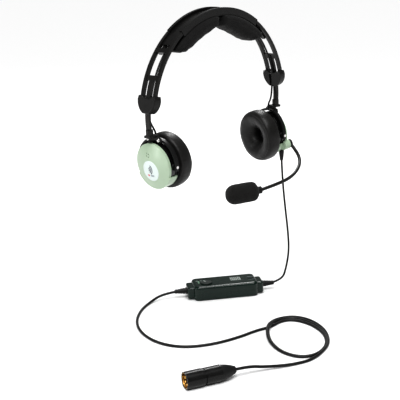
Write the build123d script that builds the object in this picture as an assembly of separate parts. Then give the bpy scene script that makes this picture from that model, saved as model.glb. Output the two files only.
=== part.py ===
from build123d import *
import math
import os

# Aviation headset with a cord-mounted control module and a five-pin plug, in millimetres.
# Origin: middle of the ear axis, between the two ear cushions. +X is the wearer's left,
# -Y is the way the wearer faces, +Z is up. The cord module and the plug lie on a level
# surface at z = FLOOR_Z while the headband is held up.

# ---------- headband ----------
ARC_Z = 48.0            # height of the headband's arc centre above the ear axis
ARC_R = 108.0           # outer radius of the arm rails
BAND_W = 22.0           # width over both rails
RAIL_W = 3.8            # width of one rail
ARM_RAIL_H = 3.7        # radial height of an arm rail
CROWN_RAIL_H = 7.5      # radial height of a crown rail
CROWN_PROUD = 1.0       # how far the crown rails stand outside the arm rails
CROWN_END = 34.5        # angle from the top where the crown rails end
DECK_T = 1.5            # crown deck thickness
DECK_DROP = 2.0         # deck below the arm rails' outer face
DECK_END = 44.0
ARM_START = 34.8
ARM_TONGUE_START = 29.0
ARM_END = 80.0
ARM_WEB = (47.0, 50.0)
TONGUE_T = 1.5
FIT = 0.2               # clearance of plastic pieces that seat in each other
SLIDE_FIT = 0.3         # clearance of pieces that slide past each other

# ---------- head cushions ----------
CARRIER_T = 1.0
CARRIER_W = 20.0
CARRIER_END = 42.0
CUSHION_W = 28.0
CUSHION_T = 17.6        # deepest point, two fifths of the way along
CUSHION_T_MIDDLE = 13.4
CUSHION_T_OUTER = 14.6
CUSHION_DEEP = 22.0     # angle from the top of the deepest point
CUSHION_OUTER = 38.0    # angle where the lobe starts to round off
CUSHION_GAP = 2.0       # half angle between the two cushions
CUSHION_END = 45.0
CUSHION_EDGE = 4.0

# ---------- yoke clasps and sliding straps ----------
YOKE_START = 75.6
YOKE_END = 85.6
YOKE_W = 26.4
YOKE_T = 9.5
YOKE_NECK_W = 9.0
YOKE_ROUND = 1.4
YOKE_DIP = 2.2          # depth of the dip in the top edge
STRAP_W = 6.0
STRAP_T = 2.8
TBAR = (63.9, 66.9)
EYE_R = 4.0
EYE_H = 5.8
LEAD_D = 2.2
LEAD_DROP = 5.1         # crossover lead's centreline inside the arm rails' outer face
LEAD_R = ARC_R - LEAD_DROP
LEAD_ROOM = 2.4         # half width left free for the lead
LEAD_END = 80.0
LEAD_FOOT_Y = 1.2
LEAD_SLOT_START = 77.5  # the yoke's slot is open inwards from here down
LEAD_TAIL_ROUTE = [
    (102.1, 3.2, 52.0),
    (100.6, 2.6, 45.5),
    (97.4, 1.8, 39.0),
    (94.9, 1.4, 34.5),
]

# ---------- swivel brackets and stirrups ----------
SWIVEL_X = ARC_R - 3.0  # swivel pin axis, in line with the strap
SWIVEL_PIN_R = 1.5
RUNNING = 0.05          # radial clearance of a pin that turns
EYE_GAP = 3.5           # from the stirrup's outside to the underside of the strap's eye
NECK_T = 2.7
NECK_W = 9.0
PLATE_T = 3.0
PLATE_W = 23.0
STIRRUP_T = 2.4
STIRRUP_W = 4.0
STIRRUP_END = 98.0      # angle of the stirrup's arm ends from the top
SCREW_CORE_R = 0.7
SCREW_HEAD_R = 1.8
SCREW_HEAD_H = 1.2
BRACKET_SCREW_Y = 8.0

# ---------- ear cups, drawn on the cup's own axis with u = 0 at the tilt pivots ----------
CUP_X = SWIVEL_X - 10.0  # tilt pivots from the middle
SHELL_R = 24.8
SHELL_WALL = 2.0
SHELL_IN = -5.0         # inner end of the shell
SPIGOT_U = 4.4          # where the cover's rim starts
SHELL_OUT = 6.0
COVER_R = SHELL_R - 0.1
COVER_WALL = 1.8
DOME_START = 7.5
DOME_TOP = 12.0
SKIRT_IN = -4.0
SKIRT_GAP = 0.2
SKIRT_T = 1.4
SKIRT_R = SHELL_R + SKIRT_GAP + SKIRT_T
SKIRT_HALF = 65.0       # half angle of the skirt about straight down
VENT_R = 0.7
VENT_PITCH = 2.9
VENT_PLACE = (3.0, 12.4)
PIVOT_R = 1.5
PIVOT_BOSS_R = 4.0
PIVOT_BOSS_OUT = SHELL_R + 1.8
STIRRUP_GAP = 0.4       # between a pivot boss and the stirrup
STIRRUP_IN = PIVOT_BOSS_OUT + STIRRUP_GAP
STIRRUP_OUT = STIRRUP_IN + STIRRUP_T
EYE_LOW = STIRRUP_OUT + EYE_GAP
BAFFLE_R = SHELL_R + 0.6
BAFFLE_T = 2.0
DRIVER_R = 14.0
DRIVER_T = 4.5
MAGNET_R = 9.0
MAGNET_T = 2.4
BOARD_R = 20.0
BOARD_T = 1.6
PAD_R = 31.0
PAD_T = 18.0
PAD_HOLE_R = 8.0

# rest attitude of each cup, in degrees: outward face turned forward, and turned up
YAW = {"right": 0.0, "left": 12.0}
TILT = {"right": -6.0, "left": 6.0}

# ---------- boom microphone, on the left cup ----------
BOOM_ANGLE = 31.5       # of the boom's pivot below the cup's front
BOOM_REACH = COVER_R + 1.1
BOOM_Y = -BOOM_REACH * math.cos(math.radians(BOOM_ANGLE))
BOOM_Z = -BOOM_REACH * math.sin(math.radians(BOOM_ANGLE))
BOOM_BOSS_R = 6.0
BOOM_BOSS_IN = 1.0
BOOM_BOSS_OUT = 8.9
BOOM_KNOB_R = 5.2
BOOM_KNOB_U = (9.2, 13.4)
BOOM_STEM_R = 2.2
BOOM_STEM_IN = 5.2
BOOM_D = 4.0
BOOM_ROUTE = [
    (103.0, -33.0, -21.0),
    (97.5, -42.0, -27.0),
    (86.5, -50.5, -31.5),
    (71.0, -57.5, -35.5),
    (53.0, -62.5, -38.0),
    (36.0, -64.0, -39.2),
    (20.0, -61.5, -41.0),
    (8.5, -56.8, -43.2),
]
MIC_DIRECTION = (-0.887, 0.458, -0.05)
COLLAR_R = 4.2
COLLAR_L = 8.0
CAPSULE_R = 5.0
CAPSULE_L = 14.0
FOAM_R = 11.6
FOAM_L = 38.0
FOAM_GAP = 0.3

# ---------- cords ----------
FLOOR_Z = -195.0
UPPER_D = 2.6
LOWER_D = 3.2
LOWER_Z = FLOOR_Z + LOWER_D / 2
GLAND_OUT = 3.6         # gland outside the tilt pivots
GLAND_INTO = 2.9        # root of the gland above the skirt's lowest point
GLAND_AT = (CUP_X + GLAND_OUT, -13.4, GLAND_INTO - SKIRT_R)
GLAND_L = 10.0
GLAND_ROOT = 5.0        # length of the gland above its tapered part
GLAND_R = (3.2, 2.0)
CORD_INTO = 3.0         # length of cord held inside each strain relief

# ---------- control module ----------
MODULE_AT = (29.0, 23.0)
MODULE_TURN = -37.2
MODULE_L = 79.0
MODULE_W = 34.0
MODULE_H = 18.0
MODULE_WALL = 1.8
MODULE_ROUND = 3.0
MODULE_SPLIT = 8.5
MODULE_NOSE_L = 7.5
MODULE_NOSE_W = 22.0
MODULE_NOSE_H = 13.0
RELIEF_L = 15.0
RELIEF_FLANGE_R = 5.0
RELIEF_R = (4.2, 2.5)
DIAL_R = 7.0
DIAL_T = 3.0
DIAL_PROUD = 1.4
DIAL_X = 16.5 - MODULE_L / 2
DIAL_Y = -3.5
BUTTON_X = MODULE_L / 2 - 6.5
BUTTON_SIZE = (6.0, 4.0)
BUTTON_PROUD = 0.8
BUTTON_TRAVEL = 0.5
LED_R = 1.1
LED_PITCH = 4.0
LED_X = 7.5 - MODULE_L / 2
MODULE_BOARD_T = 1.6
MODULE_BOARD_END = 6.5   # board's end inside the case's end
MODULE_BOARD_SIDE = 3.0

# ---------- five-pin cord plug ----------
PLUG_R = 9.0            # outside of the front shell
PLUG_END = (-131.0, -136.0, FLOOR_Z + PLUG_R)
PLUG_DIRECTION = (-0.9154, 0.4026, 0.0)
PLUG_SHELL_L = 18.0
PLUG_SHELL_WALL = 0.9
PLUG_LINING_WALL = 0.5
PLUG_SOCKET_DEPTH = 14.0
INSERT_R = 7.5
INSERT_STEP = 0.4       # the insert is this much thinner inside the sleeve
CONTACT_R = 1.2
CONTACT_PCD_R = 4.75
CONTACT_L = 12.0
CONTACT_ANGLES = (90.0, 38.0, 142.0, -14.0, 194.0)
SLEEVE_R = 8.6
SLEEVE_L = 20.5
DIMPLE_R = 1.5
DIMPLE_PLACES = (3.0, 7.0)
BOOT_L = 16.5
BOOT_END_R = 3.4
BOOT_WIDE_R = 8.2
BOOT_GROOVE = 1.8       # place of the groove near the boot's end

UPPER_ROUTE = [
    (99.4, -13.8, -58.0),
    (102.0, -15.2, -92.0),
    (105.2, -16.8, -125.0),
    (104.8, -18.6, -150.0),
    (96.5, -20.4, -170.0),
    (87.5, -21.4, -183.0),
]
LOWER_A_ROUTE = [
    (-32.5, 69.5, -187.5),
    (-49.0, 74.0, LOWER_Z),
    (-76.0, 63.5, LOWER_Z),
    (-103.0, 42.0, LOWER_Z),
    (-120.5, 13.0, LOWER_Z),
    (-126.0, -19.0, LOWER_Z),
    (-117.0, -47.0, LOWER_Z),
    (-92.0, -66.5, LOWER_Z),
    (-60.0, -77.0, LOWER_Z),
    (-33.0, -80.5, LOWER_Z),
]
COIL_START = (-11.0, -79.0, LOWER_Z)
COIL_END = (-30.0, -172.5, LOWER_Z)
LOWER_B_ROUTE = [
    (-52.0, -173.5, LOWER_Z),
    (-76.0, -163.5, LOWER_Z),
    (-101.0, -149.5, -190.5),
    (-117.0, -142.1, -186.0),
]
COIL_CENTRE = (-15.0, -124.0)
COIL_LONG = 59.0        # outer half length of the loose coil
COIL_SHORT = 36.5       # outer half width
COIL_OPEN_LONG = 44.0   # half length of the opening inside its turns
COIL_OPEN_SHORT = 26.5
COIL_OPEN_SHIFT = -5.5  # the turns fan out at one end
COIL_TURN = 47.7
COIL_H = 2 * LOWER_D + 0.6

SIDES = {"right": -1, "left": 1}


# ---------- shape helpers ----------
def on_arc(radius, degrees, y=0.0):
    """Point on the headband's arc, degrees from the top towards +X."""
    turn = math.radians(degrees)
    return Vector(radius * math.sin(turn), y, ARC_Z + radius * math.cos(turn))


def sector(r_in, r_out, start, end, y_min, y_max):
    """Curved bar that follows the headband's arc."""
    middle = (start + end) / 2
    outer = ThreePointArc(on_arc(r_out, start, y_min), on_arc(r_out, middle, y_min), on_arc(r_out, end, y_min))
    inner = ThreePointArc(on_arc(r_in, end, y_min), on_arc(r_in, middle, y_min), on_arc(r_in, start, y_min))
    outline = Wire([outer, Line(outer @ 1, inner @ 0), inner, Line(inner @ 1, outer @ 0)])
    return extrude(Face(outline), amount=y_max - y_min, dir=(0, 1, 0))


def block(x, y, z):
    """Box between two limits on each axis."""
    size = (x[1] - x[0], y[1] - y[0], z[1] - z[0])
    return Pos(x[0], y[0], z[0]) * Box(*size, align=(Align.MIN, Align.MIN, Align.MIN))


def rod(start, direction, radius, length):
    """Cylinder from a start point along a direction."""
    plane = Plane(origin=start, z_dir=direction)
    return plane * Cylinder(radius, length, align=(Align.CENTER, Align.CENTER, Align.MIN))


def cone(start, direction, r_start, r_end, length):
    """Tapered rod from a start point along a direction."""
    plane = Plane(origin=start, z_dir=direction)
    return plane * Cone(r_start, r_end, length, align=(Align.CENTER, Align.CENTER, Align.MIN))


def turned(*points):
    """Solid turned about the cup's axis from (u, radius) points."""
    return revolve(make_face(Polyline(*points, close=True)), axis=Axis.X)


def ring(r_in, r_out, u_start, u_end):
    """Plain ring about the cup's axis."""
    return turned((u_start, r_in), (u_end, r_in), (u_end, r_out), (u_start, r_out))


def ring_arc(r_in, r_out, u_start, u_end, middle, half):
    """Part of a ring about the cup's axis; middle is an angle from +Y towards +Z."""
    def at(radius, degrees):
        turn = math.radians(degrees)
        return Vector(u_start, radius * math.cos(turn), radius * math.sin(turn))
    low = middle - half
    high = middle + half
    outer = ThreePointArc(at(r_out, low), at(r_out, middle), at(r_out, high))
    inner = ThreePointArc(at(r_in, high), at(r_in, middle), at(r_in, low))
    outline = Wire([outer, Line(outer @ 1, inner @ 0), inner, Line(inner @ 1, outer @ 0)])
    return extrude(Face(outline), amount=u_end - u_start, dir=(1, 0, 0))


def on_side(piece, side):
    """Put a piece drawn for the left side on the named side."""
    if side == "left":
        return piece
    return mirror(piece, about=Plane.YZ)


def yawed(piece, side):
    """Turn a piece that hangs on the swivel pin to its rest attitude."""
    sign = SIDES[side]
    return piece.rotate(Axis((sign * SWIVEL_X, 0, 0), (0, 0, 1)), -sign * YAW[side])


def posed(piece, side):
    """Move a piece from the cup's own frame to the cup's rest attitude."""
    sign = SIDES[side]
    placed = on_side(Pos(CUP_X, 0, 0) * piece, side)
    tilted = placed.rotate(Axis((sign * CUP_X, 0, 0), (0, 1, 0)), -sign * TILT[side])
    return yawed(tilted, side)


def cup_point(u, y, z, side):
    """Where a point of the cup's own frame lies at rest."""
    return posed(Vertex(u, y, z), side).center()


def corner_radii(points):
    """Bend radius for each corner of a cord's route."""
    radii = []
    for before, here, after in zip(points, points[1:], points[2:]):
        arriving = here - before
        leaving = after - here
        half_turn = math.radians(arriving.get_angle(leaving) / 2)
        radii.append(0.45 * min(arriving.length, leaving.length) / math.tan(half_turn))
    return radii


def cord(name, points, diameter):
    """Plain round tube along a route, with the largest bends that its runs allow."""
    points = [Vector(*point) for point in points]
    radii = corner_radii(points)
    path = FilletPolyline(*points, radius=radii)
    section = Plane(origin=path @ 0, z_dir=path % 0) * Circle(diameter / 2)
    tube = sweep(section, path=path)
    expected = path.length * math.pi * diameter ** 2 / 4
    print(name, "length", round(path.length, 1), "volume ratio", round(tube.volume / expected, 4))
    print("   radii", [round(radius, 1) for radius in radii])
    return tube


def save(name, piece):
    """Write one node, as a single solid or as a group of solids."""
    solids = piece.solids()
    shape = solids[0] if len(solids) == 1 else Compound(children=list(solids))
    export_step(shape, f"parts/{name}.step")


# ---------- headband ----------
RAIL_IN = BAND_W / 2 - RAIL_W
ARM_R_IN = ARC_R - ARM_RAIL_H
CROWN_R_OUT = ARC_R + CROWN_PROUD
CROWN_R_IN = CROWN_R_OUT - CROWN_RAIL_H
DECK_R_OUT = ARC_R - DECK_DROP
DECK_R_IN = DECK_R_OUT - DECK_T
TONGUE_R_OUT = DECK_R_IN - FIT
TONGUE_R_IN = TONGUE_R_OUT - TONGUE_T
CARRIER_R_OUT = CROWN_R_IN - FIT
CARRIER_R_IN = CARRIER_R_OUT - CARRIER_T


def crown_frame():
    """Two tall rails joined by a sunken deck, the middle of the headband."""
    frame = sector(DECK_R_IN, DECK_R_OUT, -DECK_END, DECK_END, -RAIL_IN + FIT, RAIL_IN - FIT)
    frame += sector(DECK_R_IN, DECK_R_OUT, -CROWN_END, CROWN_END, -RAIL_IN - 1, RAIL_IN + 1)
    for low in (-BAND_W / 2, RAIL_IN):
        frame += sector(CROWN_R_IN, CROWN_R_OUT, -CROWN_END, CROWN_END, low, low + RAIL_W)
    return frame


def arm():
    """Left arm: two thin rails, a web, and a tongue that seats under the crown's deck."""
    piece = sector(ARM_R_IN, ARC_R, *ARM_WEB, -RAIL_IN - 1, RAIL_IN + 1)
    for low in (-BAND_W / 2, RAIL_IN):
        piece += sector(ARM_R_IN, ARC_R, ARM_START, ARM_END, low, low + RAIL_W)
    for low, high in ((-RAIL_IN + FIT, -LEAD_ROOM), (LEAD_ROOM, RAIL_IN - FIT)):
        piece += sector(TONGUE_R_IN, TONGUE_R_OUT, ARM_TONGUE_START, ARM_WEB[1], low, high)
        piece += sector(TONGUE_R_IN, ARM_R_IN + 1, *ARM_WEB, low, high)
    return piece


def pad_carrier():
    """Strip under the crown that holds the head cushions."""
    half = CARRIER_W / 2
    strip = sector(CARRIER_R_IN, CARRIER_R_OUT, -CARRIER_END, CARRIER_END, -half, half)
    for low, high in ((-RAIL_IN, -LEAD_ROOM), (LEAD_ROOM, RAIL_IN)):
        strip += sector(CARRIER_R_IN, DECK_R_IN, -4, 4, low, high)
    return strip


def head_cushion():
    """Left head cushion: a lobe with a rounded outer end and a blunt end in the middle."""
    top = CARRIER_R_IN - FIT
    middle = (CUSHION_GAP + CUSHION_END) / 2
    outer = ThreePointArc(on_arc(top, CUSHION_GAP), on_arc(top, middle), on_arc(top, CUSHION_END))
    lobe = Spline(on_arc(top - 5, CUSHION_END + 1), on_arc(top - CUSHION_T_OUTER, CUSHION_OUTER),
                  on_arc(top - CUSHION_T, CUSHION_DEEP), on_arc(top - CUSHION_T_MIDDLE, CUSHION_GAP))
    outline = Wire([outer, Line(outer @ 1, lobe @ 0), lobe, Line(lobe @ 1, outer @ 0)])
    piece = Pos(0, -CUSHION_W / 2, 0) * extrude(Face(outline), amount=CUSHION_W, dir=(0, 1, 0))
    below = [edge for edge in piece.edges() if edge.length > 20 and edge.center().Y ** 2 > 100
             and (edge.center() - Vector(0, edge.center().Y, ARC_Z)).length < top - 6]
    return fillet(below, CUSHION_EDGE)


def lead_arc(start, end, y):
    """Round lead that follows the headband's arc."""
    path = ThreePointArc(on_arc(LEAD_R, start, y), on_arc(LEAD_R, (start + end) / 2, y), on_arc(LEAD_R, end, y))
    return sweep(Plane(origin=path @ 0, z_dir=path % 0) * Circle(LEAD_D / 2), path=path)


# ---------- yokes and straps ----------
STRAP_MID = ARC_R - ARM_RAIL_H / 2 - 0.1
STRAP_R_IN = STRAP_MID - STRAP_T / 2
STRAP_R_OUT = STRAP_MID + STRAP_T / 2
STRAP_END = math.degrees(math.acos((EYE_LOW + 2.2 - ARC_Z) / STRAP_MID))
LEAD_Y = 3.2
YOKE_R_IN = STRAP_MID - YOKE_T / 2 - 0.6


def yoke():
    """Left clasp: holds both rails' ends and lets the strap slide through."""
    middle = (YOKE_START + YOKE_END) / 2
    tall = math.radians(YOKE_END - YOKE_START) * ARC_R
    turn = math.radians(middle)
    plane = Plane(origin=on_arc(YOKE_R_IN, middle), x_dir=(0, 1, 0),
                  z_dir=(math.sin(turn), 0, math.cos(turn)))
    top = tall / 2
    half = YOKE_W / 2
    neck = YOKE_NECK_W / 2
    shoulder = (half, top - 3.5)
    side = ThreePointArc(shoulder, (0.8 * half, -0.42 * top), (neck, -top))
    other = ThreePointArc((-neck, -top), (-0.8 * half, -0.42 * top), (-half, shoulder[1]))
    edge = Polyline((-half, shoulder[1]), (1.2 - half, top), (6.0 - half, top), (-4.5, top - YOKE_DIP),
                    (4.5, top - YOKE_DIP), (half - 6.0, top), (half - 1.2, top), shoulder)
    outline = Wire([side, Line((neck, -top), (-neck, -top)), other, *edge.edges()])
    piece = extrude(plane * Face(outline), amount=YOKE_T, dir=tuple(plane.z_dir))
    piece = fillet(piece.faces().sort_by(Axis.X)[-1].outer_wire().edges(), YOKE_ROUND)
    for low in (-BAND_W / 2, RAIL_IN):
        piece -= sector(ARM_R_IN - FIT, ARC_R + FIT, YOKE_START - 2, ARM_END + 0.2, low - FIT,
                        low + RAIL_W + FIT)
    piece -= sector(STRAP_R_IN - SLIDE_FIT, STRAP_R_OUT + SLIDE_FIT, YOKE_START - 3, YOKE_END + 3,
                    -STRAP_W / 2 - SLIDE_FIT, STRAP_W / 2 + SLIDE_FIT)
    half_lead = LEAD_D / 2 + SLIDE_FIT
    piece -= sector(LEAD_R - half_lead, STRAP_R_IN, YOKE_START - 3, YOKE_END + 3,
                    -LEAD_Y - half_lead, LEAD_Y + half_lead)
    piece -= sector(YOKE_R_IN - 2, LEAD_R, LEAD_SLOT_START, YOKE_END + 3, LEAD_FOOT_Y - SLIDE_FIT,
                    LEAD_Y + half_lead)
    return piece


def strap():
    """Left strap with its T-bar and the eye for the swivel pin."""
    piece = sector(STRAP_R_IN, STRAP_R_OUT, TBAR[0], STRAP_END, -STRAP_W / 2, STRAP_W / 2)
    piece += sector(STRAP_R_IN, STRAP_R_OUT, *TBAR, -RAIL_IN + SLIDE_FIT, RAIL_IN - SLIDE_FIT)
    piece += rod((SWIVEL_X, 0, EYE_LOW), (0, 0, 1), EYE_R, EYE_H)
    return piece - rod((SWIVEL_X, 0, EYE_LOW - 1), (0, 0, 1), SWIVEL_PIN_R + RUNNING, EYE_H + 0.2)


def lead_tail():
    """Left lead between yoke and stirrup, bowed inwards beside the strap."""
    route = [on_arc(LEAD_R, 76.5, LEAD_Y), on_arc(LEAD_R, 80.0, LEAD_Y), on_arc(LEAD_R, 83.5, LEAD_Y),
             *LEAD_TAIL_ROUTE, (CUP_X, LEAD_FOOT_Y, STIRRUP_OUT + 0.5)]
    return cord("lead_tail", route, LEAD_D)


# ---------- swivel bracket and stirrup, drawn unturned for the left side ----------
NECK_TOP = EYE_LOW - 0.2
PLATE_X = CUP_X + STIRRUP_W / 2


def swivel_bracket():
    """Pin, neck and splayed plate that carry the stirrup."""
    half = PLATE_W / 2
    low = STIRRUP_IN - 4.5
    outline = Polyline((-NECK_W / 2, NECK_TOP), (NECK_W / 2, NECK_TOP), (half, low + 3.5), (half - 2, low),
                       (2 - half, low), (-half, low + 3.5), close=True)
    plate = extrude(Plane(origin=(PLATE_X, 0, 0), x_dir=(0, 1, 0), z_dir=(1, 0, 0)) * make_face(outline),
                    amount=PLATE_T)
    plate -= rod((PLATE_X - 1, 0, 0), (1, 0, 0), STIRRUP_IN - 0.2, PLATE_T + 2)
    neck = block((PLATE_X, SWIVEL_X + EYE_R), (-NECK_W / 2, NECK_W / 2), (NECK_TOP - NECK_T, NECK_TOP))
    pin = rod((SWIVEL_X, 0, NECK_TOP - 0.5), (0, 0, 1), SWIVEL_PIN_R, EYE_H - 0.2)
    piece = plate + neck + pin
    for y in (-BRACKET_SCREW_Y, BRACKET_SCREW_Y):
        piece -= rod((PLATE_X - 1, y, screw_height(y)), (1, 0, 0), SCREW_CORE_R + FIT, PLATE_T + 2)
    return piece


def screw_height(y):
    """Height of a bracket screw, on the middle of the stirrup's band."""
    middle = (STIRRUP_IN + STIRRUP_OUT) / 2
    return math.sqrt(middle ** 2 - y ** 2)


def bracket_screws():
    """Two bright screws through the plate into the stirrup."""
    group = []
    for y in (-BRACKET_SCREW_Y, BRACKET_SCREW_Y):
        head_at = PLATE_X + PLATE_T
        head = rod((head_at, y, screw_height(y)), (1, 0, 0), SCREW_HEAD_R, SCREW_HEAD_H)
        core = rod((head_at + 0.5, y, screw_height(y)), (-1, 0, 0), SCREW_CORE_R, PLATE_T + 3)
        group += [solid for solid in (head + core).solids()]
    return Compound(children=group)


def stirrup():
    """Half ring round the cup, with a hole for a pivot pin in each arm."""
    half = STIRRUP_W / 2
    piece = Pos(CUP_X, 0, 0) * ring_arc(STIRRUP_IN, STIRRUP_OUT, -half, half, 90, STIRRUP_END)
    hole = rod((CUP_X, -STIRRUP_OUT - 1, 0), (0, 1, 0), PIVOT_R, 2 * STIRRUP_OUT + 2)
    for y in (-BRACKET_SCREW_Y, BRACKET_SCREW_Y):
        hole += rod((CUP_X - 1.2, y, screw_height(y)), (1, 0, 0), SCREW_CORE_R, STIRRUP_W)
    return piece - hole


# ---------- ear cup, drawn on its own axis ----------
COVER_IN = COVER_R - COVER_WALL
SPIGOT_R = COVER_IN - FIT
DOME_H = DOME_TOP - DOME_START
DOME_R = (DOME_H ** 2 + COVER_R ** 2) / (2 * DOME_H)


def pivot_pins():
    """Two pins, pressed into the stirrup's arms, that the cup tilts on."""
    pins = []
    for sign in (-1, 1):
        pins += rod((0, sign * (STIRRUP_OUT + 0.6), 0), (0, -sign, 0), PIVOT_R, 5.4).solids()
    return Compound(children=pins)


def cup_shell():
    """Glossy wall of the cup with a groove, a spigot for the cover and two pivot bosses."""
    inner = SHELL_R - SHELL_WALL
    groove = SHELL_R - 0.9
    piece = turned((SHELL_IN, inner), (SHELL_IN, SHELL_R), (-2.6, SHELL_R), (-2.2, groove), (-1.4, groove),
                   (-1.0, SHELL_R), (SPIGOT_U, SHELL_R), (SPIGOT_U, SPIGOT_R), (SHELL_OUT, SPIGOT_R),
                   (SHELL_OUT, inner - 1.2), (2.2, inner - 1.2), (2.2, inner))
    for sign in (-1, 1):
        boss = rod((0, sign * (inner + 0.5), 0), (0, sign, 0), PIVOT_BOSS_R, PIVOT_BOSS_OUT - inner - 0.5)
        piece += boss
        piece -= rod((0, sign * (inner + 0.9), 0), (0, sign, 0), PIVOT_R + RUNNING, 6)
    return piece


def outer_cover(side):
    """Domed cover with a skirt round its lower half; the left one carries the boom's boss."""
    low = SPIGOT_U + 0.1
    ball = Pos(DOME_TOP - DOME_R, 0, 0) * Rot(0, 0, 180)
    outside = rod((low, 0, 0), (1, 0, 0), COVER_R, DOME_TOP) & ball * Sphere(DOME_R)
    inside = rod((low - 1, 0, 0), (1, 0, 0), COVER_IN, DOME_TOP) & ball * Sphere(DOME_R - COVER_WALL)
    piece = outside - inside
    skirt_in = SHELL_R + SKIRT_GAP
    piece += ring_arc(skirt_in, SKIRT_R, SKIRT_IN, DOME_START, -90, SKIRT_HALF)
    piece += ring_arc(COVER_R - 0.8, skirt_in + 0.2, SPIGOT_U + 0.1, DOME_START, -90, SKIRT_HALF)
    if side == "left":
        boss = rod((BOOM_BOSS_IN, BOOM_Y, BOOM_Z), (1, 0, 0), BOOM_BOSS_R, BOOM_BOSS_OUT - BOOM_BOSS_IN)
        boss -= rod((0, 0, 0), (1, 0, 0), skirt_in + 0.1, SPIGOT_U + 1.2)
        boss -= rod((0, 0, 0), (1, 0, 0), COVER_IN + 0.4, SHELL_OUT + 1.1)
        boss -= rod((BOOM_STEM_IN - 0.2, BOOM_Y, BOOM_Z), (1, 0, 0), BOOM_STEM_R + RUNNING, 8)
        piece -= rod((BOOM_STEM_IN - 3, BOOM_Y, BOOM_Z), (1, 0, 0), BOOM_BOSS_R - 1, 12)
        piece += boss
    for row in (-0.5, 0.5):
        for column in (-0.5, 0.5):
            y = VENT_PLACE[0] + column * VENT_PITCH
            z = VENT_PLACE[1] + row * VENT_PITCH + column * 1.0
            piece -= rod((0, y, z), (1, 0, 0), VENT_R, DOME_TOP)
    return piece


def speaker_baffle():
    """Disc that closes the cup behind the cushion, with sound holes."""
    piece = rod((SHELL_IN - BAFFLE_T, 0, 0), (1, 0, 0), BAFFLE_R, BAFFLE_T)
    piece += ring(SHELL_R - SHELL_WALL - 1.8, SHELL_R - SHELL_WALL - FIT, SHELL_IN, SHELL_IN + 2.4)
    for turn in range(0, 360, 60):
        at = math.radians(turn)
        piece -= rod((SHELL_IN - BAFFLE_T - 1, 4 * math.cos(at), 4 * math.sin(at)), (1, 0, 0), 1.0, BAFFLE_T + 2)
    return piece


def speaker_driver():
    """Loudspeaker with its magnet."""
    start = SHELL_IN + 0.1
    return rod((start, 0, 0), (1, 0, 0), DRIVER_R, DRIVER_T) + rod((start, 0, 0), (1, 0, 0), MAGNET_R,
                                                                  DRIVER_T + MAGNET_T)


def noise_board():
    """Round circuit board of the noise-cancelling electronics."""
    start = SHELL_IN + DRIVER_T + MAGNET_T + 0.6
    board = rod((start, 0, 0), (1, 0, 0), BOARD_R, BOARD_T)
    board += block((start + BOARD_T - 0.1, start + BOARD_T + 1.2), (-6, 2), (2, 8))
    board += block((start + BOARD_T - 0.1, start + BOARD_T + 1.0), (-4, 8), (-9, -5))
    return board


def ear_cushion():
    """Round cushion with a dished front and a sound opening."""
    back = SHELL_IN - BAFFLE_T
    face = back - PAD_T
    rim = PAD_R - 1.6
    outline = [
        Line((back, PAD_HOLE_R), (back, rim)),
        ThreePointArc((back, rim), (back - PAD_T / 2, PAD_R), (face + 3.5, PAD_R - 1.4)),
        ThreePointArc((face + 3.5, PAD_R - 1.4), (face, PAD_R - 8), (face + 2.4, PAD_R - 15)),
        Line((face + 2.4, PAD_R - 15), (face + 9.0, PAD_HOLE_R)),
        Line((face + 9.0, PAD_HOLE_R), (back, PAD_HOLE_R)),
    ]
    return revolve(Face(Wire(outline)), axis=Axis.X)


# ---------- boom microphone ----------
MIC_DIR = Vector(*MIC_DIRECTION).normalized()


def boom_pivot():
    """Round knob that turns in the cover's boss and holds the gooseneck."""
    knob = rod((BOOM_KNOB_U[0], BOOM_Y, BOOM_Z), (1, 0, 0), BOOM_KNOB_R, BOOM_KNOB_U[1] - BOOM_KNOB_U[0])
    knob = chamfer(knob.faces().sort_by(Axis.X)[-1].edges(), 0.8)
    return knob + rod((BOOM_STEM_IN, BOOM_Y, BOOM_Z), (1, 0, 0), BOOM_STEM_R, 5)


def boom_start():
    """Where the gooseneck leaves the knob, at rest."""
    return cup_point((BOOM_KNOB_U[0] + BOOM_KNOB_U[1]) / 2, BOOM_Y - 3.6, BOOM_Z - 3.2, "left")


def gooseneck():
    """Bendable boom from the knob to the microphone."""
    start = boom_start()
    route = [tuple(start)] + BOOM_ROUTE
    return cord("gooseneck", route, BOOM_D)


def mic_place(distance):
    """Point on the microphone's axis, measured from the gooseneck's end."""
    return Vector(*BOOM_ROUTE[-1]) + MIC_DIR * distance


def mic_collar():
    """Ribbed collar between gooseneck and windscreen."""
    piece = rod(mic_place(0.2), MIC_DIR, COLLAR_R, COLLAR_L)
    for step in (1.6, 3.6, 5.6):
        groove = rod(mic_place(0.2 + step), MIC_DIR, COLLAR_R + 1, 0.8)
        piece -= groove - rod(mic_place(step - 1), MIC_DIR, COLLAR_R - 0.6, 4)
    return piece


def mic_capsule():
    """Noise-cancelling microphone inside the windscreen."""
    piece = rod(mic_place(0.4 + COLLAR_L), MIC_DIR, CAPSULE_R, CAPSULE_L)
    return fillet(piece.edges(), 0.8)


def windscreen():
    """Foam sleeve with rounded ends, open inside for the capsule."""
    start = COLLAR_L - 3.0
    end = start + FOAM_L
    profile = make_face(Polyline((start, 0), (start, FOAM_R), (end, FOAM_R), (end, 0), close=True))
    near, far = profile.vertices().group_by(Axis.Y)[-1].sort_by(Axis.X)
    profile = fillet(near, FOAM_R * 0.62)
    far = profile.vertices().group_by(Axis.Y)[-1].sort_by(Axis.X)[-1]
    profile = fillet(far, FOAM_R * 0.9)
    side = MIC_DIR.cross(Vector(0, 0, 1))
    body = Plane(origin=mic_place(0), x_dir=MIC_DIR, z_dir=side) * revolve(profile, axis=Axis.X)
    body -= rod(mic_place(start - 1), MIC_DIR, COLLAR_R + FOAM_GAP, 4.5)
    return body - rod(mic_place(start + 3.4), MIC_DIR, CAPSULE_R + FOAM_GAP, CAPSULE_L + 0.8)


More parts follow.
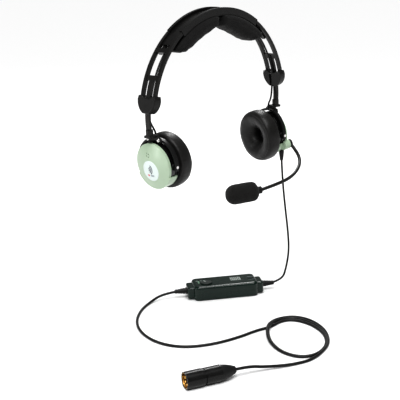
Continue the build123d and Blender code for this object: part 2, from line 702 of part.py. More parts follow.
# ---------- cord gland, on the left cup ----------
def cord_gland():
    """Short tapered strain relief that points straight down."""
    root = (GLAND_AT[0], GLAND_AT[1], GLAND_AT[2] + GLAND_ROOT)
    body = cone(GLAND_AT, (0, 0, -1), GLAND_R[0], GLAND_R[1], GLAND_L) + rod(root, (0, 0, -1), GLAND_R[0], GLAND_ROOT)
    body -= posed(rod((-6, 0, 0), (1, 0, 0), SKIRT_R + 0.05, 16), "left")
    return body - rod((GLAND_AT[0], GLAND_AT[1], GLAND_AT[2] - GLAND_L - 1), (0, 0, 1), UPPER_D / 2, CORD_INTO + 1)


# ---------- control module, drawn along X about its own middle, base at z = 0 ----------
def at_module(piece):
    """Move a piece from the module's frame to where the module lies."""
    return Pos(MODULE_AT[0], MODULE_AT[1], FLOOR_Z) * Rot(0, 0, MODULE_TURN) * piece


def module_point(x, y, z):
    """Where a point of the module's frame lies."""
    return at_module(Vertex(x, y, z)).center()


def module_case():
    """Whole case before it is split and hollowed."""
    bar = Pos(0, 0, MODULE_H / 2) * Box(MODULE_L, MODULE_W, MODULE_H)
    bar = fillet(bar.edges().filter_by(Axis.Z), 6.0)
    bar = fillet(bar.faces().sort_by(Axis.Z)[-1].edges(), MODULE_ROUND)
    bar = fillet(bar.faces().sort_by(Axis.Z)[0].edges(), MODULE_ROUND - 1)
    nose = Pos(0, 0, MODULE_H / 2) * Box(MODULE_L + 2 * MODULE_NOSE_L, MODULE_NOSE_W, MODULE_NOSE_H)
    nose = fillet(nose.edges().filter_by(Axis.Z), 3.0)
    nose = fillet(nose.faces().sort_by(Axis.Z)[-1].edges(), 2.0)
    return bar + nose


def module_hollow():
    """Space inside the case."""
    wall = 2 * MODULE_WALL
    bar = Pos(0, 0, MODULE_H / 2) * Box(MODULE_L - wall, MODULE_W - wall, MODULE_H - wall)
    bar = fillet(bar.edges().filter_by(Axis.Z), 4.2)
    return bar


def relief_hole():
    """Opening at both ends for the strain reliefs."""
    reach = MODULE_L / 2 + MODULE_NOSE_L + 1
    return rod((-reach, 0, MODULE_H / 2), (1, 0, 0), RELIEF_R[0] + FIT, 2 * reach)


def dial_pocket():
    """Pocket in the lid for the volume dial and its shaft."""
    pocket = rod((DIAL_X, DIAL_Y, MODULE_H - DIAL_T + DIAL_PROUD - FIT), (0, 0, 1), DIAL_R + SLIDE_FIT, DIAL_T + 2)
    return pocket + rod((DIAL_X, DIAL_Y, MODULE_SPLIT), (0, 0, 1), 1.6 + RUNNING, MODULE_H)


def button_hole(gap):
    """Outline of the push button, with a gap all round."""
    return block((BUTTON_X - BUTTON_SIZE[0] / 2 - gap, BUTTON_X + BUTTON_SIZE[0] / 2 + gap),
                 (-BUTTON_SIZE[1] / 2 - gap, BUTTON_SIZE[1] / 2 + gap),
                 (MODULE_H - MODULE_WALL - 1, MODULE_H + 2))


def module_top():
    """Upper half of the case."""
    piece = module_case() - block((-99, 99), (-99, 99), (-1, MODULE_SPLIT)) - module_hollow() - relief_hole()
    seat = rod((DIAL_X, DIAL_Y, MODULE_H - 5.4), (0, 0, 1), DIAL_R + 1.8, 4.4)
    piece = (piece + seat) - dial_pocket() - button_hole(SLIDE_FIT)
    for step in (0, 1):
        piece -= rod((LED_X, LED_PITCH * step - 2, MODULE_H - 3), (0, 0, 1), LED_R + 0.05, 6)
    return at_module(piece)


def module_bottom():
    """Lower half of the case."""
    keep = block((-99, 99), (-99, 99), (-1, MODULE_SPLIT - 0.1))
    piece = (module_case() & keep) - module_hollow() - relief_hole()
    for x, y in screw_places():
        piece += rod((x, y, 0.8), (0, 0, 1), 3.0, MODULE_SPLIT - 1.2)
        piece -= rod((x, y, -1), (0, 0, 1), SCREW_HEAD_R + 0.3, 1 + SCREW_HEAD_H + 0.4)
        piece -= rod((x, y, -1), (0, 0, 1), SCREW_CORE_R + 0.2, MODULE_SPLIT + 2)
    return at_module(piece)


def screw_places():
    """The module's case screws, one towards each end."""
    return [(-MODULE_L / 2 + 7, 9.0), (MODULE_L / 2 - 7, -9.0)]


def module_screws():
    """Two screws that close the case from below."""
    group = []
    for x, y in screw_places():
        screw = rod((x, y, 0.4), (0, 0, 1), SCREW_HEAD_R, SCREW_HEAD_H)
        screw += rod((x, y, 0.4), (0, 0, 1), SCREW_CORE_R, MODULE_SPLIT + 2)
        group += at_module(screw).solids()
    return Compound(children=group)


def module_board():
    """Circuit board of the module, resting on the screw posts."""
    low = MODULE_SPLIT - 0.3
    half = MODULE_L / 2 - MODULE_BOARD_END
    wide = MODULE_W / 2 - MODULE_BOARD_SIDE
    board = block((-half, half), (-wide, wide), (low, low + MODULE_BOARD_T))
    for x, y in screw_places():
        board -= rod((x, y, 0), (0, 0, 1), 1.4, MODULE_H)
    board += block((-6, 4), (-8, 2), (low + 1.5, low + 4.0))
    board += block((14, 22), (-6, 4), (low + 1.5, low + 3.6))
    return at_module(board)


def volume_dial():
    """Round volume dial with its shaft and an index notch."""
    low = MODULE_H - DIAL_T + DIAL_PROUD
    dial = rod((DIAL_X, DIAL_Y, low), (0, 0, 1), DIAL_R, DIAL_T)
    dial = chamfer(dial.faces().sort_by(Axis.Z)[-1].edges(), 0.5)
    for turn in range(0, 360, 20):
        at = math.radians(turn)
        dial -= rod((DIAL_X + (DIAL_R + 0.3) * math.cos(at), DIAL_Y + (DIAL_R + 0.3) * math.sin(at), low - 1),
                    (0, 0, 1), 0.7, DIAL_T + 2)
    shaft_low = MODULE_SPLIT - 0.3 + MODULE_BOARD_T + 0.3
    return at_module(dial + rod((DIAL_X, DIAL_Y, shaft_low), (0, 0, 1), 1.6, low - shaft_low + 0.5))


def power_button():
    """Small push button with a wide foot under the lid."""
    long, wide = BUTTON_SIZE
    top = MODULE_H + BUTTON_PROUD
    foot = MODULE_H - MODULE_WALL
    piece = block((BUTTON_X - long / 2, BUTTON_X + long / 2), (-wide / 2, wide / 2), (foot - 1, top))
    piece += block((BUTTON_X - long / 2 - 1, BUTTON_X + long / 2 - 1), (-wide / 2 - 1, wide / 2 + 1),
                   (foot - 1.4, foot - 0.1))
    return at_module(piece)


def led_lenses():
    """Two small indicator lenses in the lid."""
    group = []
    for step in (0, 1):
        lens = rod((LED_X, LED_PITCH * step - 2, MODULE_H - 2.4), (0, 0, 1), LED_R, 2.7)
        group += at_module(lens).solids()
    return Compound(children=group)


def strain_relief(sign):
    """Tapered relief on one end of the module, with a flange inside the case."""
    start = sign * (MODULE_L / 2 + MODULE_NOSE_L - 6)
    z = MODULE_H / 2
    piece = rod((start, 0, z), (sign, 0, 0), RELIEF_R[0], 6)
    piece += cone((start + sign * 6, 0, z), (sign, 0, 0), RELIEF_R[0], RELIEF_R[1], RELIEF_L)
    for step in range(4):
        groove_at = start + sign * (8.0 + 3.0 * step)
        groove = rod((groove_at, 0, z), (sign, 0, 0), RELIEF_R[0] + 1, 1.1)
        inside = RELIEF_R[0] - (RELIEF_R[0] - RELIEF_R[1]) * (2.5 + 3.0 * step) / RELIEF_L - 0.6
        piece -= groove - rod((groove_at - sign, 0, z), (sign, 0, 0), inside, 4)
    diameter = UPPER_D if sign > 0 else LOWER_D
    end = start + sign * (6 + RELIEF_L)
    piece -= rod((end + sign, 0, z), (-sign, 0, 0), diameter / 2, CORD_INTO + 1)
    return at_module(piece)


def relief_end(sign, inside=0.0):
    """Point on the module's axis at a strain relief's end, or that far inside it."""
    return module_point(sign * (MODULE_L / 2 + MODULE_NOSE_L + RELIEF_L - inside), 0, MODULE_H / 2)


# ---------- plug ----------
PLUG_DIR = Vector(*PLUG_DIRECTION).normalized()
PLUG_PLANE = Plane(origin=PLUG_END, x_dir=(PLUG_DIR.cross(Vector(0, 0, 1))), z_dir=PLUG_DIR)


def at_plug(piece):
    """Move a piece from the plug's frame, +Z out of its front, to where it lies."""
    return PLUG_PLANE * piece


def plug_ring(r_in, r_out, low, high):
    """Ring on the plug's axis between two heights."""
    outer = rod((0, 0, low), (0, 0, 1), r_out, high - low)
    return outer - rod((0, 0, low - 1), (0, 0, 1), r_in, high - low + 2)


BOOT_TOP = BOOT_L
SLEEVE_TOP = BOOT_TOP + SLEEVE_L
PLUG_FRONT = SLEEVE_TOP + PLUG_SHELL_L


def plug_boot():
    """Soft tapered boot behind the plug, with ribs."""
    outline = [Line((0, 0, 0), (BOOT_END_R, 0, 0)),
               ThreePointArc((BOOT_END_R, 0, 0), (BOOT_WIDE_R - 1.4, 0, 0.55 * BOOT_L), (BOOT_WIDE_R, 0, BOOT_L)),
               Line((BOOT_WIDE_R, 0, BOOT_L), (0, 0, BOOT_L)), Line((0, 0, BOOT_L), (0, 0, 0))]
    body = revolve(Face(Wire(outline)), axis=Axis.Z)
    body -= plug_ring(BOOT_END_R + 0.3, BOOT_WIDE_R, BOOT_GROOVE, BOOT_GROOVE + 0.9)
    return at_plug(body - rod((0, 0, -1), (0, 0, 1), LOWER_D / 2, CORD_INTO + 1))


def plug_sleeve():
    """Rear body of the plug, with two shallow grip dimples and a front collar."""
    body = rod((0, 0, BOOT_TOP), (0, 0, 1), SLEEVE_R, SLEEVE_L)
    body -= plug_ring(SLEEVE_R - 0.9, SLEEVE_R + 2, SLEEVE_TOP - 3.2, SLEEVE_TOP - 1.8)
    for place in DIMPLE_PLACES:
        body -= rod((SLEEVE_R - 0.5, 0, BOOT_TOP + place), (1, 0, 0), DIMPLE_R, 2)
    body -= rod((0, 0, BOOT_TOP + 2), (0, 0, 1), INSERT_R - INSERT_STEP + FIT, SLEEVE_L)
    return at_plug(body)


def plug_shell():
    """Front shell of the plug, open at the front round the contacts."""
    body = plug_ring(PLUG_R - PLUG_SHELL_WALL, PLUG_R, SLEEVE_TOP + 0.1, PLUG_FRONT)
    return at_plug(body)


def plug_lining():
    """Bright metal lining of the front shell, with the keyway."""
    outer = PLUG_R - PLUG_SHELL_WALL - 0.02
    body = plug_ring(outer - PLUG_LINING_WALL, outer, SLEEVE_TOP + 0.3, PLUG_FRONT - 0.4)
    return at_plug(body - block((-2.2, 2.2), (-12, -4), (SLEEVE_TOP + 5, PLUG_FRONT + 1)))


def plug_insert():
    """Insulating insert that holds the contacts."""
    low = BOOT_TOP + 4
    body = rod((0, 0, SLEEVE_TOP + 0.3), (0, 0, 1), INSERT_R - 0.02, PLUG_SHELL_L - PLUG_SOCKET_DEPTH - 0.3)
    body += rod((0, 0, low), (0, 0, 1), INSERT_R - INSERT_STEP, SLEEVE_TOP - low + 1)
    for x, y in contact_places():
        body -= rod((x, y, low - 1), (0, 0, 1), CONTACT_R, 60)
    return at_plug(body)


def contact_places():
    """Places of the five contacts, seen from the front."""
    turns = [math.radians(angle) for angle in CONTACT_ANGLES]
    return [(CONTACT_PCD_R * math.cos(turn), CONTACT_PCD_R * math.sin(turn)) for turn in turns]


def plug_contacts():
    """Five round contacts."""
    group = []
    low = BOOT_TOP + 5
    for x, y in contact_places():
        pin = rod((x, y, low), (0, 0, 1), CONTACT_R, SLEEVE_TOP + PLUG_SHELL_L - PLUG_SOCKET_DEPTH + CONTACT_L - low)
        pin = fillet(pin.faces().sort_by(Axis.Z)[-1].edges(), 0.5)
        group += at_plug(pin).solids()
    return Compound(children=group)


# ---------- cords ----------
def cord_upper():
    """Cord from the gland down to the module."""
    top = (GLAND_AT[0], GLAND_AT[1], GLAND_AT[2] - GLAND_L + CORD_INTO)
    return cord("cord_upper", [top] + UPPER_ROUTE + [tuple(relief_end(1, CORD_INTO))], UPPER_D)


def cord_lower_a():
    """Cord from the module to the loose coil."""
    route = [tuple(relief_end(-1, CORD_INTO))] + LOWER_A_ROUTE + [COIL_START]
    return cord("cord_lower_a", route, LOWER_D)


def cord_lower_b():
    """Cord from the loose coil to the plug."""
    into = PLUG_PLANE.from_local_coords(Vector(0, 0, CORD_INTO))
    return cord("cord_lower_b", [COIL_END] + LOWER_B_ROUTE + [tuple(into)], LOWER_D)


def cord_coil():
    """Outer shape of the loose coil of two turns."""
    outer = Ellipse(COIL_LONG, COIL_SHORT)
    inner = Pos(COIL_OPEN_SHIFT, 0) * Ellipse(COIL_OPEN_LONG, COIL_OPEN_SHORT)
    band = extrude(outer - inner, amount=COIL_H)
    return Pos(COIL_CENTRE[0], COIL_CENTRE[1], FLOOR_Z) * Rot(0, 0, COIL_TURN) * band


def main():
    os.makedirs("parts", exist_ok=True)
    save("crown_frame", crown_frame())
    save("pad_carrier", pad_carrier())
    save("crossover_lead", lead_arc(-LEAD_END, LEAD_END, 0.0))
    for side in SIDES:
        save(f"arm_{side}", on_side(arm(), side))
        save(f"head_cushion_{side}", on_side(head_cushion(), side))
        save(f"yoke_{side}", on_side(yoke(), side))
        save(f"slider_strap_{side}", on_side(strap(), side))
        save(f"lead_tail_{side}", on_side(lead_tail(), side))
        save(f"swivel_bracket_{side}", yawed(on_side(swivel_bracket(), side), side))
        save(f"bracket_screws_{side}", yawed(on_side(bracket_screws(), side), side))
        save(f"stirrup_{side}", yawed(on_side(stirrup(), side), side))
        save(f"pivot_pins_{side}", yawed(on_side(Pos(CUP_X, 0, 0) * pivot_pins(), side), side))
        save(f"cup_shell_{side}", posed(cup_shell(), side))
        save(f"outer_cover_{side}", posed(outer_cover(side), side))
        save(f"speaker_baffle_{side}", posed(speaker_baffle(), side))
        save(f"speaker_driver_{side}", posed(speaker_driver(), side))
        save(f"noise_board_{side}", posed(noise_board(), side))
        save(f"ear_cushion_{side}", posed(ear_cushion(), side))
    save("boom_pivot", posed(boom_pivot(), "left"))
    save("gooseneck", gooseneck())
    save("mic_collar", mic_collar())
    save("mic_capsule", mic_capsule())
    save("windscreen", windscreen())
    save("cord_gland", cord_gland())
    save("module_top", module_top())
    save("module_bottom", module_bottom())
    save("module_screws", module_screws())
    save("module_board", module_board())
    save("volume_dial", volume_dial())
    save("power_button", power_button())
    save("led_lenses", led_lenses())
    save("relief_upper", strain_relief(1))
    save("relief_lower", strain_relief(-1))
    save("plug_boot", plug_boot())
    save("plug_sleeve", plug_sleeve())
    save("plug_shell", plug_shell())
    save("plug_lining", plug_lining())
    save("plug_insert", plug_insert())
    save("plug_contacts", plug_contacts())
    save("cord_upper", cord_upper())
    save("cord_lower_a", cord_lower_a())
    save("cord_coil", cord_coil())
    save("cord_lower_b", cord_lower_b())


if __name__ == "__main__":
    main()
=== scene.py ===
"""Studio picture of a light aviation headset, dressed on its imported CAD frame. Lengths are in metres."""

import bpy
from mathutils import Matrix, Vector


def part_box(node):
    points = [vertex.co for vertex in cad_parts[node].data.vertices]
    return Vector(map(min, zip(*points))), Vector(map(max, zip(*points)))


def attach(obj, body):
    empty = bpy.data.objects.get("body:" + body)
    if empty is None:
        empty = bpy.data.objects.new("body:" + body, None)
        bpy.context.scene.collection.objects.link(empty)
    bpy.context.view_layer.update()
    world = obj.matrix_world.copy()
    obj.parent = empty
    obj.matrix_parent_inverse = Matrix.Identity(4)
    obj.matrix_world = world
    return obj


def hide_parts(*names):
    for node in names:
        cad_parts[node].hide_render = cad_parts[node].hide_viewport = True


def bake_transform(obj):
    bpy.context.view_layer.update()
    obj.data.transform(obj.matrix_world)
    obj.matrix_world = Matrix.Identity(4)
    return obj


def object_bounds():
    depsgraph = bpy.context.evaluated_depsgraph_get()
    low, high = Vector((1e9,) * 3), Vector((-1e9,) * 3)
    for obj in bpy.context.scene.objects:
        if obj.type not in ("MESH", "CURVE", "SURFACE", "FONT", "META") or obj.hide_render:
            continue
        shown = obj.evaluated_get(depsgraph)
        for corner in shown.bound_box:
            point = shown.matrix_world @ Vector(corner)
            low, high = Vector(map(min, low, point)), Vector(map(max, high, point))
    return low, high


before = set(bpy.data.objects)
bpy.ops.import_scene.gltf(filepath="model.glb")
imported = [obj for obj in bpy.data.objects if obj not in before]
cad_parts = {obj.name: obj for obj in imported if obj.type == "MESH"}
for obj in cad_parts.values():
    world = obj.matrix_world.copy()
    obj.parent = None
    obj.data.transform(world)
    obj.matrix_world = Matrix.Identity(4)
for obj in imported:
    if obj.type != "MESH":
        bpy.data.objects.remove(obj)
CAD_BOX = [list(corner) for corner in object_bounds()]

import logging
import math
from dataclasses import dataclass
from enum import Enum
from typing import Any, Callable, Optional, Sequence, Union

import bmesh
import bpy
from mathutils import Matrix, Vector, noise

MM = 0.001
LOG = logging.getLogger("headset")
Number = Union[int, float]
Point = tuple[float, float, float]
Colour = tuple[float, float, float, float]


class Side(Enum):
    """Which of the wearer's ears a piece belongs to."""

    RIGHT = -1
    LEFT = 1

    @property
    def word(self) -> str:
        """The side's name as the frame's nodes use it."""
        return self.name.lower()


class Slot(Enum):
    """Material slot names of the record; no piece in this script takes its finish from them."""

    EAR_PAD = "ear_pad_leather"
    HEAD_PAD = "head_pad_fabric"
    FOAM = "foam"
    CORD = "lead_rubber"
    BOOM = "gooseneck_rubber"
    STEEL = "bright_steel"
    COVER = "sage_cover"
    MODULE = "module_plastic"
    DIAL = "dial_plastic"
    BAFFLE = "baffle_plastic"


# ---------- sockets that can be used in sums ----------
class Value:
    """A node's output that can stand in an arithmetic expression."""

    def __init__(self, bench: "Bench", socket: bpy.types.NodeSocket) -> None:
        """Wraps a socket.

        Args:
            bench: The tree that the socket belongs to.
            socket: The output socket.
        """
        self.bench = bench
        self.socket = socket

    def _maths(self, operation: str, first: Any, second: Any = 0.0) -> "Value":
        """Adds one Math node.

        Args:
            operation: The Math node's operation.
            first: A value or number.
            second: A value or number.

        Returns:
            The node's result.
        """
        return self.bench.node("ShaderNodeMath", {"operation": operation}, {0: first, 1: second})

    def __add__(self, other: Any) -> "Value":
        """Sum."""
        return self._maths("ADD", self, other)

    def __sub__(self, other: Any) -> "Value":
        """Difference."""
        return self._maths("SUBTRACT", self, other)

    def __rsub__(self, other: Any) -> "Value":
        """Difference from a plain number."""
        return self._maths("SUBTRACT", other, self)

    def __mul__(self, other: Any) -> "Value":
        """Product."""
        return self._maths("MULTIPLY", self, other)

    def __truediv__(self, other: Any) -> "Value":
        """Quotient."""
        return self._maths("DIVIDE", self, other)

    def __gt__(self, other: Any) -> "Value":
        """One where this is the greater, else zero."""
        return self._maths("GREATER_THAN", self, other)

    def __pow__(self, other: Any) -> "Value":
        """Power."""
        return self._maths("POWER", self, other)

    def most(self, other: Any) -> "Value":
        """The greater of the two."""
        return self._maths("MAXIMUM", self, other)

    def least(self, other: Any) -> "Value":
        """The smaller of the two."""
        return self._maths("MINIMUM", self, other)

    def sine(self) -> "Value":
        """Sine of this value in radians."""
        return self._maths("SINE", self)

    def absolute(self) -> "Value":
        """This value without its sign."""
        return self._maths("ABSOLUTE", self)

    __radd__ = __add__
    __rmul__ = __mul__


class Bench:
    """Builds one node tree."""

    def __init__(self, tree: bpy.types.NodeTree) -> None:
        """Starts on an empty tree.

        Args:
            tree: The tree to build.
        """
        self.tree = tree
        self.tree.nodes.clear()

    def node(self, kind: str, settings: Optional[dict[str, Any]] = None,
             inputs: Optional[dict[Union[int, str], Any]] = None, output: Union[int, str] = 0) -> Value:
        """Adds one node.

        Args:
            kind: The node's type.
            settings: Its properties, and "stops" for a colour ramp, set before its sockets.
            inputs: A number, a colour or a Value for each socket, by index or name.
            output: Which output to hand on.

        Returns:
            The chosen output.
        """
        made = self.tree.nodes.new(kind)
        for name, setting in (settings or {}).items():
            if name == "stops":
                self._set_stops(made, setting)
            else:
                setattr(made, name, setting)
        for key, given in (inputs or {}).items():
            if isinstance(given, Value):
                self.tree.links.new(given.socket, made.inputs[key])
            else:
                made.inputs[key].default_value = given
        return Value(self, made.outputs[output]) if len(made.outputs) else Value(self, None)

    @staticmethod
    def _set_stops(ramp: bpy.types.Node, stops: Sequence[tuple[float, Colour]]) -> None:
        """Gives a colour ramp its stops.

        Args:
            ramp: The ColorRamp node.
            stops: Place and colour of each stop.
        """
        elements = ramp.color_ramp.elements
        while len(elements) < len(stops):
            elements.new(0.5)
        for element, (place, colour) in zip(elements, stops):
            element.position = place
            element.color = colour

    def noise(self, where: Value, size: float, detail: float = 2.0, rough: float = 0.5) -> Value:
        """Smooth random value from 0 to 1.

        Args:
            where: Coordinates in metres.
            size: Size of its blobs in metres.
            detail: Octaves.
            rough: Strength of the finer octaves.

        Returns:
            The noise.
        """
        return self.node("ShaderNodeTexNoise", {}, {"Vector": where, "Scale": 1.0 / size, "Detail": detail,
                                                    "Roughness": rough})

    def cells(self, where: Value, size: float, feature: str = "F1", output: str = "Distance") -> Value:
        """Distance to the nearest of scattered points.

        Args:
            where: Coordinates in metres.
            size: Size of a cell in metres.
            feature: The Voronoi node's feature.
            output: Which output to hand on.

        Returns:
            The distance, in cells.
        """
        return self.node("ShaderNodeTexVoronoi", {"feature": feature}, {"Vector": where, "Scale": 1.0 / size},
                         output)

    def mix(self, share: Any, first: Any, second: Any) -> Value:
        """Blend of two colours.

        Args:
            share: How much of the second, from 0 to 1.
            first: A colour.
            second: A colour.

        Returns:
            The blend.
        """
        return self.node("ShaderNodeMix", {"data_type": "RGBA"}, {0: share, 6: first, 7: second}, 2)

    def stretched(self, where: Value, scale: Point) -> Value:
        """Coordinates squeezed along the axes.

        Args:
            where: Coordinates in metres.
            scale: Factor along each axis.

        Returns:
            The new coordinates.
        """
        return self.node("ShaderNodeMapping", {}, {"Vector": where, "Scale": scale})


# ---------- finishes ----------
def grey(level: float, warm: float = 0.0) -> Colour:
    """A near-neutral colour.

    Args:
        level: Its lightness, linear.
        warm: How far it leans from blue to red, as a share.

    Returns:
        The colour.
    """
    return (level * (1 + warm), level, level * (1 - warm), 1.0)


@dataclass(frozen=True)
class Finish:
    """What every finish shares: its colour, its gloss and its unevenness."""

    name: str
    colour: Colour
    rough: float = 0.5

    def material(self) -> bpy.types.Material:
        """The Blender material, made once."""
        name = f"finish_{self.name}"
        made = bpy.data.materials.get(name)
        if made is None:
            made = bpy.data.materials.new(name)
            made.use_nodes = True
            made.diffuse_color = self.colour
            self.paint(Bench(made.node_tree))
        return made

    def paint(self, bench: Bench) -> None:
        """Builds the nodes.

        Args:
            bench: The material's tree.
        """
        raise NotImplementedError

    def places(self, bench: Bench) -> Value:
        """Coordinates of the piece, in metres."""
        return bench.node("ShaderNodeTexCoord", output="Object")

    def shade(self, bench: Bench, colour: Value, rough: Any, height: Optional[Value], depth: float,
              constants: Optional[dict[str, Any]] = None, metallic: Any = 0.0) -> None:
        """Ends the tree in one shader.

        Args:
            bench: The material's tree.
            colour: Base colour.
            rough: Roughness.
            height: Relief from 0 to 1, or None.
            depth: Depth of the relief in metres.
            constants: Values for the shader's other sockets.
            metallic: Metallic share.
        """
        inputs = {"Base Color": colour, "Roughness": rough, "Metallic": metallic, **(constants or {})}
        if height is not None:
            inputs["Normal"] = bench.node("ShaderNodeBump", {}, {"Strength": 1.0, "Distance": depth,
                                                                 "Height": height})
        shader = bench.node("ShaderNodeBsdfPrincipled", {}, inputs)
        bench.node("ShaderNodeOutputMaterial", {}, {"Surface": shader})


@dataclass(frozen=True)
class Moulded(Finish):
    """Moulded plastic: fine spark-eroded grain, handling marks and a little uneven colour."""

    grain: float = 0.00045
    relief: float = 0.000022
    coat: float = 0.0
    marks: float = 0.1

    def paint(self, bench: Bench) -> None:
        """Builds the nodes."""
        where = self.places(bench)
        fine = bench.noise(where, self.grain, 3.0)
        broad = bench.noise(where, 0.018, 3.0)
        along = bench.noise(bench.stretched(where, (1.0, 0.16, 0.5)), 0.0011, 4.0, 0.7)
        scratch = (along > 0.66) * self.marks
        lighter = tuple(min(1.0, 1.5 * c + 0.003) for c in self.colour[:3]) + (1.0,)
        colour = bench.mix(broad * 0.7 + scratch * 0.6, self.colour, lighter)
        rough = (broad - 0.5) * 0.22 + self.rough + scratch
        self.shade(bench, colour, rough, fine * 0.8 + along * 0.2, self.relief,
                   {"Coat Weight": self.coat, "Coat Roughness": 0.08, "Specular IOR Level": 0.18})


@dataclass(frozen=True)
class Painted(Finish):
    """Satin paint over moulded plastic, with faint mottling and an orange-peel surface."""

    shadow: Colour = (0.3, 0.4, 0.3, 1.0)

    def paint(self, bench: Bench) -> None:
        """Builds the nodes."""
        where = self.places(bench)
        peel = bench.noise(where, 0.0016, 2.0)
        speckle = bench.noise(where, 0.00035, 2.0)
        broad = bench.noise(where, 0.014, 3.0)
        colour = bench.mix(broad * 0.55 + speckle * 0.25, self.colour, self.shadow)
        rough = (broad - 0.5) * 0.12 + self.rough + speckle * 0.06
        self.shade(bench, colour, rough, peel * 0.7 + speckle * 0.3, 0.00002,
                   {"Coat Weight": 0.2, "Coat Roughness": 0.22})


@dataclass(frozen=True)
class Leatherette(Finish):
    """Soft coated cloth with a pebbled grain, fine creases and a low sheen."""

    pebble: float = 0.0009

    def paint(self, bench: Bench) -> None:
        """Builds the nodes."""
        where = self.places(bench)
        warp = bench.noise(where, 0.004, 2.0)
        pebbles = bench.cells(where, self.pebble, "SMOOTH_F1")
        gaps = 1.0 - bench.cells(where, self.pebble * 1.7, "DISTANCE_TO_EDGE").least(0.12) * 8.0
        crease = bench.noise(bench.stretched(where, (0.5, 1.0, 1.0)), 0.0075, 5.0, 0.62)
        height = (1.0 - pebbles) * 0.42 - gaps * 0.2 + crease * 0.9
        lighter = tuple(2.3 * c + 0.002 for c in self.colour[:3]) + (1.0,)
        colour = bench.mix(warp * 0.5 + (1.0 - pebbles) * 0.3, self.colour, lighter)
        rough = (crease - 0.5) * 0.25 + gaps * 0.08 + self.rough
        self.shade(bench, colour, rough, height, 0.00011,
                   {"Sheen Weight": 0.03, "Sheen Roughness": 0.5, "Specular IOR Level": 0.2})


@dataclass(frozen=True)
class Woven(Finish):
    """Plain-woven cloth whose threads follow the piece's own UV map, in metres; painted shade darkens its grooves."""

    pitch: float = 0.0007

    def paint(self, bench: Bench) -> None:
        """Builds the nodes."""
        sheet = bench.node("ShaderNodeTexCoord", output="UV")
        across = bench.node("ShaderNodeSeparateXYZ", {}, {0: sheet}, 0)
        along = bench.node("ShaderNodeSeparateXYZ", {}, {0: sheet}, 1)
        turn = math.tau / (2 * self.pitch)
        warp = (across * turn).sine().absolute()
        weft = (along * turn).sine().absolute()
        over = (((across * turn * 0.5).sine() * (along * turn * 0.5).sine()) > 0.0)
        thread = warp * over + weft * (1.0 - over)
        fuzz = bench.noise(self.places(bench), 0.0006, 4.0, 0.7)
        wear = bench.noise(self.places(bench), 0.012, 3.0)
        lighter = tuple(2.6 * c + 0.003 for c in self.colour[:3]) + (1.0,)
        # painted shade: the colour is darker in the grooves between threads and lighter on the thread crests
        colour = bench.mix(thread * 0.55 + fuzz * 0.35, self.colour, lighter)
        self.shade(bench, colour, (wear - 0.5) * 0.1 + self.rough, thread * 0.7 + fuzz * 0.5, 0.00012,
                   {"Sheen Weight": 0.06, "Sheen Roughness": 0.5, "Specular IOR Level": 0.12})


@dataclass(frozen=True)
class Foam(Finish):
    """Open-cell foam, with painted shade in its pores."""

    pore: float = 0.0011

    def paint(self, bench: Bench) -> None:
        """Builds the nodes."""
        where = self.places(bench)
        pores = bench.cells(where, self.pore)
        small = bench.cells(where, self.pore * 0.45)
        broad = bench.noise(where, 0.006, 3.0)
        hole = (pores * 0.75 + small * 0.4).least(1.0)
        lighter = tuple(2.8 * c + 0.004 for c in self.colour[:3]) + (1.0,)
        # painted shade: the colour is darker where the relief is low, in the pores, and lighter where it stands up
        colour = bench.mix((1.0 - hole) * 0.8 + broad * 0.3, self.colour, lighter)
        self.shade(bench, colour, self.rough, 1.0 - hole, 0.0005,
                   {"Sheen Weight": 0.05, "Sheen Roughness": 0.6, "Specular IOR Level": 0.1})


@dataclass(frozen=True)
class Jacket(Finish):
    """Extruded cord jacket: soft gloss, faint drawn lines and a trace of dust."""

    def paint(self, bench: Bench) -> None:
        """Builds the nodes."""
        where = self.places(bench)
        dust = bench.noise(where, 0.009, 4.0, 0.6)
        skin = bench.noise(where, 0.0005, 3.0)
        scuff = bench.noise(where, 0.0022, 5.0, 0.75) > 0.63
        lighter = tuple(2.4 * c + 0.006 for c in self.colour[:3]) + (1.0,)
        colour = bench.mix(dust * 0.5 + scuff * 0.3, self.colour, lighter)
        rough = (dust - 0.5) * 0.3 + self.rough + scuff * 0.08
        self.shade(bench, colour, rough, skin, 0.00003, {"Specular IOR Level": 0.2})


@dataclass(frozen=True)
class Metal(Finish):
    """Plated or brushed metal with fine drawn lines and slight tarnish."""

    dull: Colour = (0.4, 0.4, 0.4, 1.0)
    brush: Point = (0.2, 1.0, 1.0)

    def paint(self, bench: Bench) -> None:
        """Builds the nodes."""
        where = self.places(bench)
        lines = bench.noise(bench.stretched(where, self.brush), 0.00018, 3.0)
        tarnish = bench.noise(where, 0.003, 4.0)
        colour = bench.mix(tarnish * 0.6, self.colour, self.dull)
        rough = lines * 0.16 + self.rough + (tarnish - 0.5) * 0.12
        self.shade(bench, colour, rough, lines, 0.000008, {}, 1.0)


@dataclass(frozen=True)
class Board(Finish):
    """Solder mask over copper tracks."""

    def paint(self, bench: Bench) -> None:
        """Builds the nodes."""
        where = self.places(bench)
        track = bench.cells(where, 0.0028, "DISTANCE_TO_EDGE") > 0.09
        broad = bench.noise(where, 0.005, 2.0)
        copper = (0.05, 0.24, 0.09, 1.0)
        colour = bench.mix(track * 0.8 + broad * 0.2, copper, self.colour)
        self.shade(bench, colour, (broad - 0.5) * 0.1 + self.rough, track * 1.0, 0.00004)


@dataclass(frozen=True)
class Lens(Finish):
    """Small tinted light guide."""

    def paint(self, bench: Bench) -> None:
        """Builds the nodes."""
        where = self.places(bench)
        cloud = bench.noise(where, 0.0012, 2.0)
        lighter = tuple(min(1.0, 1.4 * c) for c in self.colour[:3]) + (1.0,)
        colour = bench.mix(cloud, self.colour, lighter)
        self.shade(bench, colour, cloud * 0.1 + self.rough, cloud, 0.00002,
                   {"Coat Weight": 0.6, "IOR": 1.5, "Transmission Weight": 0.25})


